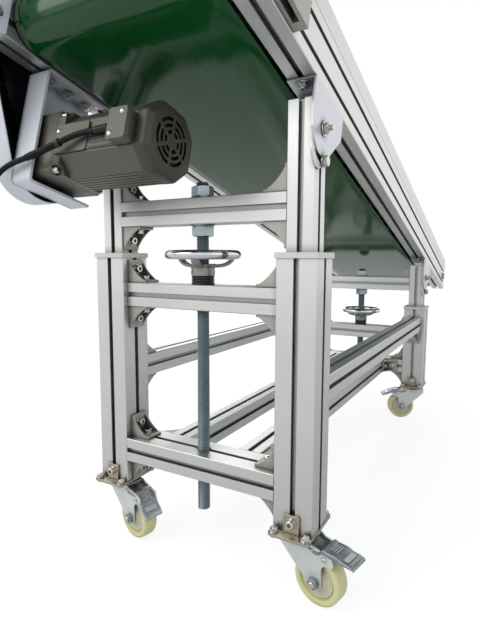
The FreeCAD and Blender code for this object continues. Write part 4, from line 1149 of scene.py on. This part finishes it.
def make_fan_cover():
    """Cap whose end rounds over, with rings of openings over the fan."""
    length, ease_over, depth = fan_end - body_end, 8.0, 6.0
    levels = [(0, -0.6), (1.0, -1.0), (length - ease_over, -1.0)]
    for degrees in (18, 36, 54, 72, 90):
        angle = math.radians(degrees)
        levels.append((length - ease_over + ease_over * math.sin(angle), -1.0 + 8.4 * (1 - math.cos(angle))))
    rings = []
    for z, shrink in levels:
        outline = rounded(clipped_square(motor_size - 2 * shrink, 23.0 - shrink * 0.6), 9.0, 4)
        rings.append([Vector((x, y, z)) for x, y in outline])
    shell = loft(rings)
    shell.faces.pop()
    slot_width, bar_half = 4.5, 2.4
    slots = [fan_slot(inner, inner + slot_width, bar_half, 30 + 60 * k)
             for inner in (10.0, 18.0, 26.0) for k in range(6)]
    loops = [rings[-1]] + [[Vector((x, y, length)) for x, y in slot] for slot in slots]
    parts = [shell, Shape([p for loop in loops for p in loop], tessellate_polygon(loops))]
    for loop in loops[1:]:
        well = loft([loop, [p - Z * depth for p in loop]])
        well.faces.pop(-2)
        parts.append(well.finished(1))
    place = bed @ on_axis(body_end)
    build("fan_cap", joined(parts), place, "bed", "fan shadow", "fan_cover", angle=32)


def make_terminal_cover():
    """Low cover along the motor's front, ribbed panel, raised part with the gland, and their screws."""
    place = bed @ upright(0, motor_at - motor_size / 2, motor_below)
    start, step, end, raised_end = -122.0, -60.0, -12.0, 18.0
    half, low, high = 20.0, 3.0, 17.0
    rib = prism(rounded(rectangle(end - step - 4, 2.2), 1.0, 2), 1.0)
    lid = joined([prism(rounded(corners((start, -half), (step, half)), [3, 5, 5, 3]), low),
                  prism(corners((step - 2, -half + 1), (end, 6)), 1.7),
                  copies(rib, [move((step + end) / 2 + 1, -half + 3.6 + 5.5 * k, 1.6) for k in range(4)]),
                  prism(rounded(corners((end, -half), (raised_end, half)), 4.0), high)])
    build("terminal_lid", lid, place, "bed", "motor", "terminal_cover", bevel=0.8, angle=40)
    head = revolve([(0, 2.2), (2.2, 2.0), (3.4, 1.0), (3.7, 0), (0, 0)], 24)
    spots = ((start + 6, 11, low), (raised_end - 8, 13, high), (end + 6, -13, high))
    build_bolts("terminal_screws", copies(head, [move(*spot) for spot in spots]), place, "bed")


def make_gland():
    """Ribbed sleeve that tapers to the lead."""
    low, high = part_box("lead_gland")
    length = (high.x - low.x) / MM
    narrow, wide, ribs, sunk = 4.6, 5.4, 6, 0.7
    profile = [(0, 0), (4.3, 0), (narrow, 0.5)]
    for k in range(ribs):
        base = 2.5 + (length - 8) * k / ribs
        r = narrow + (wide - narrow) * base / length
        profile += [(r, base), (r, base + 2.2), (r - sunk, base + 2.5), (r - sunk, base + 3.2)]
    profile += [(5.5, length - 4), (5.5, length), (0, length)]
    place = facing(gland_tip(), X) @ Matrix.Scale(MM, 4)
    build("gland_sleeve", revolve(profile, 28), place, "bed", "black", "lead_gland")


make_motor()
make_fan_cover()
make_terminal_cover()
make_gland()

# Chain drive: guard, toothed sprockets and the chain's links
guard_depth, guard_sheet = 42.0, 2.0
guard_motor_radius, guard_roller_radius = 64.0, 50.0
motor_centre, roller_centre = Vector((motor_at, motor_below)), Vector((drive_at, roller_height))
rail_outside = -(rail_x + rail_half)
chain_x = rail_outside - 22.0
sprocket_radius = 25.0
chain_pitch = 12.7


def band_outline(inset):
    """The guard's outline round both circles, in the plane along the belt."""
    p, q = motor_centre, roller_centre
    radius_p, radius_q = guard_motor_radius - inset, guard_roller_radius - inset
    base = math.degrees(math.atan2(q.y - p.y, q.x - p.x))
    spread = math.degrees(math.acos((radius_p - radius_q) / (q - p).length))
    return (arc_points(p, radius_p, base + spread, base + 360 - spread, 24)
            + arc_points(q, radius_q, base - spread, base + spread, 24))


def make_guard():
    """Pan of white sheet, its inside faces given a painted shade, open towards the rail."""
    face = rail_outside - guard_depth
    outer, inner = band_outline(0.0), band_outline(guard_sheet)
    levels = ((face, outer), (rail_outside, outer), (rail_outside, inner), (face + guard_sheet, inner))
    pan = loft([[(x, s, n) for s, n in line] for x, line in levels])
    count = len(outer)
    # the inside faces take the dark finish that paints their shade
    dark = {*range(2 * count, 3 * count), 3 * count + 1}
    pan.faces = [(corner_ring, int(k in dark)) for k, (corner_ring, _) in enumerate(pan.faces)]
    build("guard_pan", pan, bed, "bed", "white navy", "chain_guard", bevel=0.6, angle=40)


def chain_pins():
    """Points about a pitch apart on the line round both sprockets."""
    p, q = motor_centre, roller_centre
    run = (q - p).length
    ahead = (q - p).normalized()
    left = Vector((-ahead.y, ahead.x))
    half = run + math.pi * sprocket_radius
    count = 2 * round(half / chain_pitch)
    pins = []
    for k in range(count):
        distance = 2 * half * k / count
        start, forward, out = (p, ahead, left) if distance < half else (q, -ahead, -left)
        distance %= half
        if distance >= run:
            turn = (distance - run) / sprocket_radius
            out = out * math.cos(turn) + forward * math.sin(turn)
        pins.append(start + forward * min(distance, run) + out * sprocket_radius)
    return pins


def link_outline(length, height, waist):
    """Plate of one link: two round ends and a waist."""
    r = height / 2
    right = arc_points((length / 2, 0), r, -70, 70, 6)
    left = arc_points((-length / 2, 0), r, 110, 250, 6)
    return right + [(0, waist / 2)] + left + [(0, -waist / 2)]


def make_chain():
    pins = chain_pins()
    thickness = 1.2
    roller = pin(3.9, -2.7, 2.7, 12)
    stub = revolve([(0, -6.4), (1.9, -6.2), (1.9, 6.2), (0, 6.4)], 10)
    parts = []
    for k, here in enumerate(pins):
        after = pins[(k + 1) % len(pins)]
        middle, step = (here + after) / 2, after - here
        ahead = Vector((0, step.x, step.y)).normalized()
        offset = 4.8 if k % 2 else 3.4
        plate = prism(link_outline(step.length, 10.2, 6.4), thickness)
        for side in SIDES:
            corner = (chain_x + side * offset - thickness / 2, middle.x, middle.y)
            parts.append(plate.moved(columns(ahead, X.cross(ahead), X, corner)))
        parts.append((roller + stub).moved(facing((chain_x, here.x, here.y), X)))
    build("chain_links", joined(parts), bed, "bed", "chain", "chain", angle=40)


def sprocket(centre, first_pin, bore):
    """Toothed wheel whose gaps sit under the chain's rollers, with its boss."""
    teeth = 12
    phase = math.atan2(first_pin.y - centre.y, first_pin.x - centre.x)
    half_tooth = ((-0.5, 28.2), (-0.38, 27.4), (-0.26, 24.2), (-0.14, 21.7), (0, 20.9))
    tooth = half_tooth + tuple((-share, radius) for share, radius in half_tooth[3:0:-1])
    pitch = 2 * math.pi / teeth
    outline = [polar(radius, phase + pitch * (k + share)) for k in range(teeth) for share, radius in tooth]
    thickness = 4.6
    wheel = prism(outline, thickness, [hole(bore)]).at(z=-thickness / 2)
    boss = revolve([(bore, 2), (15.5, 2), (15.5, 13), (14.5, 14), (bore, 14)], 32, closed=True)
    return (wheel + boss).moved(crosswise(chain_x, centre.x, centre.y))


def make_sprockets():
    pins = chain_pins()
    parts = []
    for centre, bore in ((motor_centre, 7.5), (roller_centre, 10.0)):
        nearest = min(pins, key=lambda p: abs((p - centre).length - sprocket_radius) + 0.001 * p.x)
        parts.append(sprocket(centre, nearest, bore))
    build("sprocket_teeth", joined(parts), bed, "bed", "chain", "sprockets", bevel=0.3, angle=45)


make_guard()
make_chain()
make_sprockets()


# Motor bracket: bent sheet pan with the bolts that hold it under the rail
def make_motor_bracket():
    """Web, two flanges and a front flange from one outline each, its bends rounded."""
    front, back, drop = -157.0, -50.0, 165.0
    sheet, bend = 4.0, 3.0
    radii = [0, bend + sheet, bend + sheet, 0]
    outline = rounded([(back, 0), (front, 0), (front, -drop), (back, -drop)], radii, 5)
    inside = rounded([(back, -drop + sheet), (front + sheet, -drop + sheet), (front + sheet, -sheet),
                      (back, -sheet)], [0, bend, bend, 0], 5)
    pan = prism(outline + inside, 2 * rail_half) + prism(outline, sheet, [hole(16.0, motor_centre)])
    build("motor_bracket_sheet", pan, bed @ crosswise(rail_outside), "bed", "white",
          "motor_bracket", bevel=0.6, angle=50)
    bolt = hexagon_bolt(13.0, 5.5, 8.5, 1.5, 3.9, 3.5)
    bolts = copies(bolt, [facing((-rail_x, s, -sheet), -Z, 0.3) for s in (-138.0, -104.0, -70.0)])
    rivet = revolve([(0, 1.6), (2, 1.4), (2.6, 0), (0, 0)], 16)
    rivet = rivet.moved(facing((-rail_x + 10, -58, -sheet), -Z))
    build_bolts("motor_bracket_bolts", bolts + rivet, bed, "bed")


make_motor_bracket()


# Bolts of the swivel plates and the end plates
def make_swivel_bolts():
    plate_outside = leg_x + inner_size / 2 + 3.5
    pivot_drop, lock_radius, play = 37.5, 42.0, 0.3
    radius = 3.9
    pivot_head = joined([on_washer(10.0, 1.5, hexagon(13.0, 5.5)), washer(5.6, 1.0).at(z=7.0),
                         threaded(radius, 1.25, 6.5, 16).at(z=6.9)]).at(z=play)
    lock_head = on_washer(9.0, 1.5, hexagon(13.0, 6.0)).at(z=play)
    rows = (("front", "front_pins", "front_frame", -9.3), ("rear", "rear_swivels", "rear_swivels", -3.3))
    for row, pivot_body, lock_body, reach in rows:
        height = span("inner_legs_" + row)[1].z - pivot_drop
        shank = pin(radius, reach, 0.5)
        for kind, head, body, z in (("pivot", pivot_head, pivot_body, height),
                                    ("lock", lock_head, lock_body, height - lock_radius)):
            places = [facing((side * plate_outside, row_y[row], z), X * side, 0.3) for side in SIDES]
            bolts = copies(head + shank, places)
            build_bolts(kind + "_bolt_" + row, bolts, stand, body, kind + "_bolts_" + row)


def make_flange_bolts():
    """Bolts through the swivel plates' flanges into the rails' lower slots."""
    bolt = hexagon_bolt(13.0, 5.0, 8.0, 1.2, 3.9, 2.6)
    for row, body, flange in (("front", "bed", -3.0), ("rear", "rear_swivels", -3.3)):
        corner_points = frame["nodes"]["swivel_plates_" + row].data.vertices
        start = (min(v.co.dot(along) for v in corner_points) - bed_origin.dot(along)) / MM
        places = [facing((side * rail_x, start + s, flange), -Z, 0.4) for side in SIDES for s in (9.5, 100.0)]
        build_bolts("flange_bolts_" + row, copies(bolt, places), bed, body)


def make_end_bolts():
    """Cap screws in the end plates' oval holes."""
    inner_face = rail_x - rail_half - 5.0
    screw = on_washer(8.0, 1.4, socket_screw(5.6, 4.6, 5.0))
    places = [facing((side * inner_face, -244.0, z), -X * side) for side in SIDES for z in (20.0, 60.0)]
    build_bolts("end_plate_screws", copies(screw, places), bed, "bed")


make_swivel_bolts()
make_flange_bolts()
make_end_bolts()
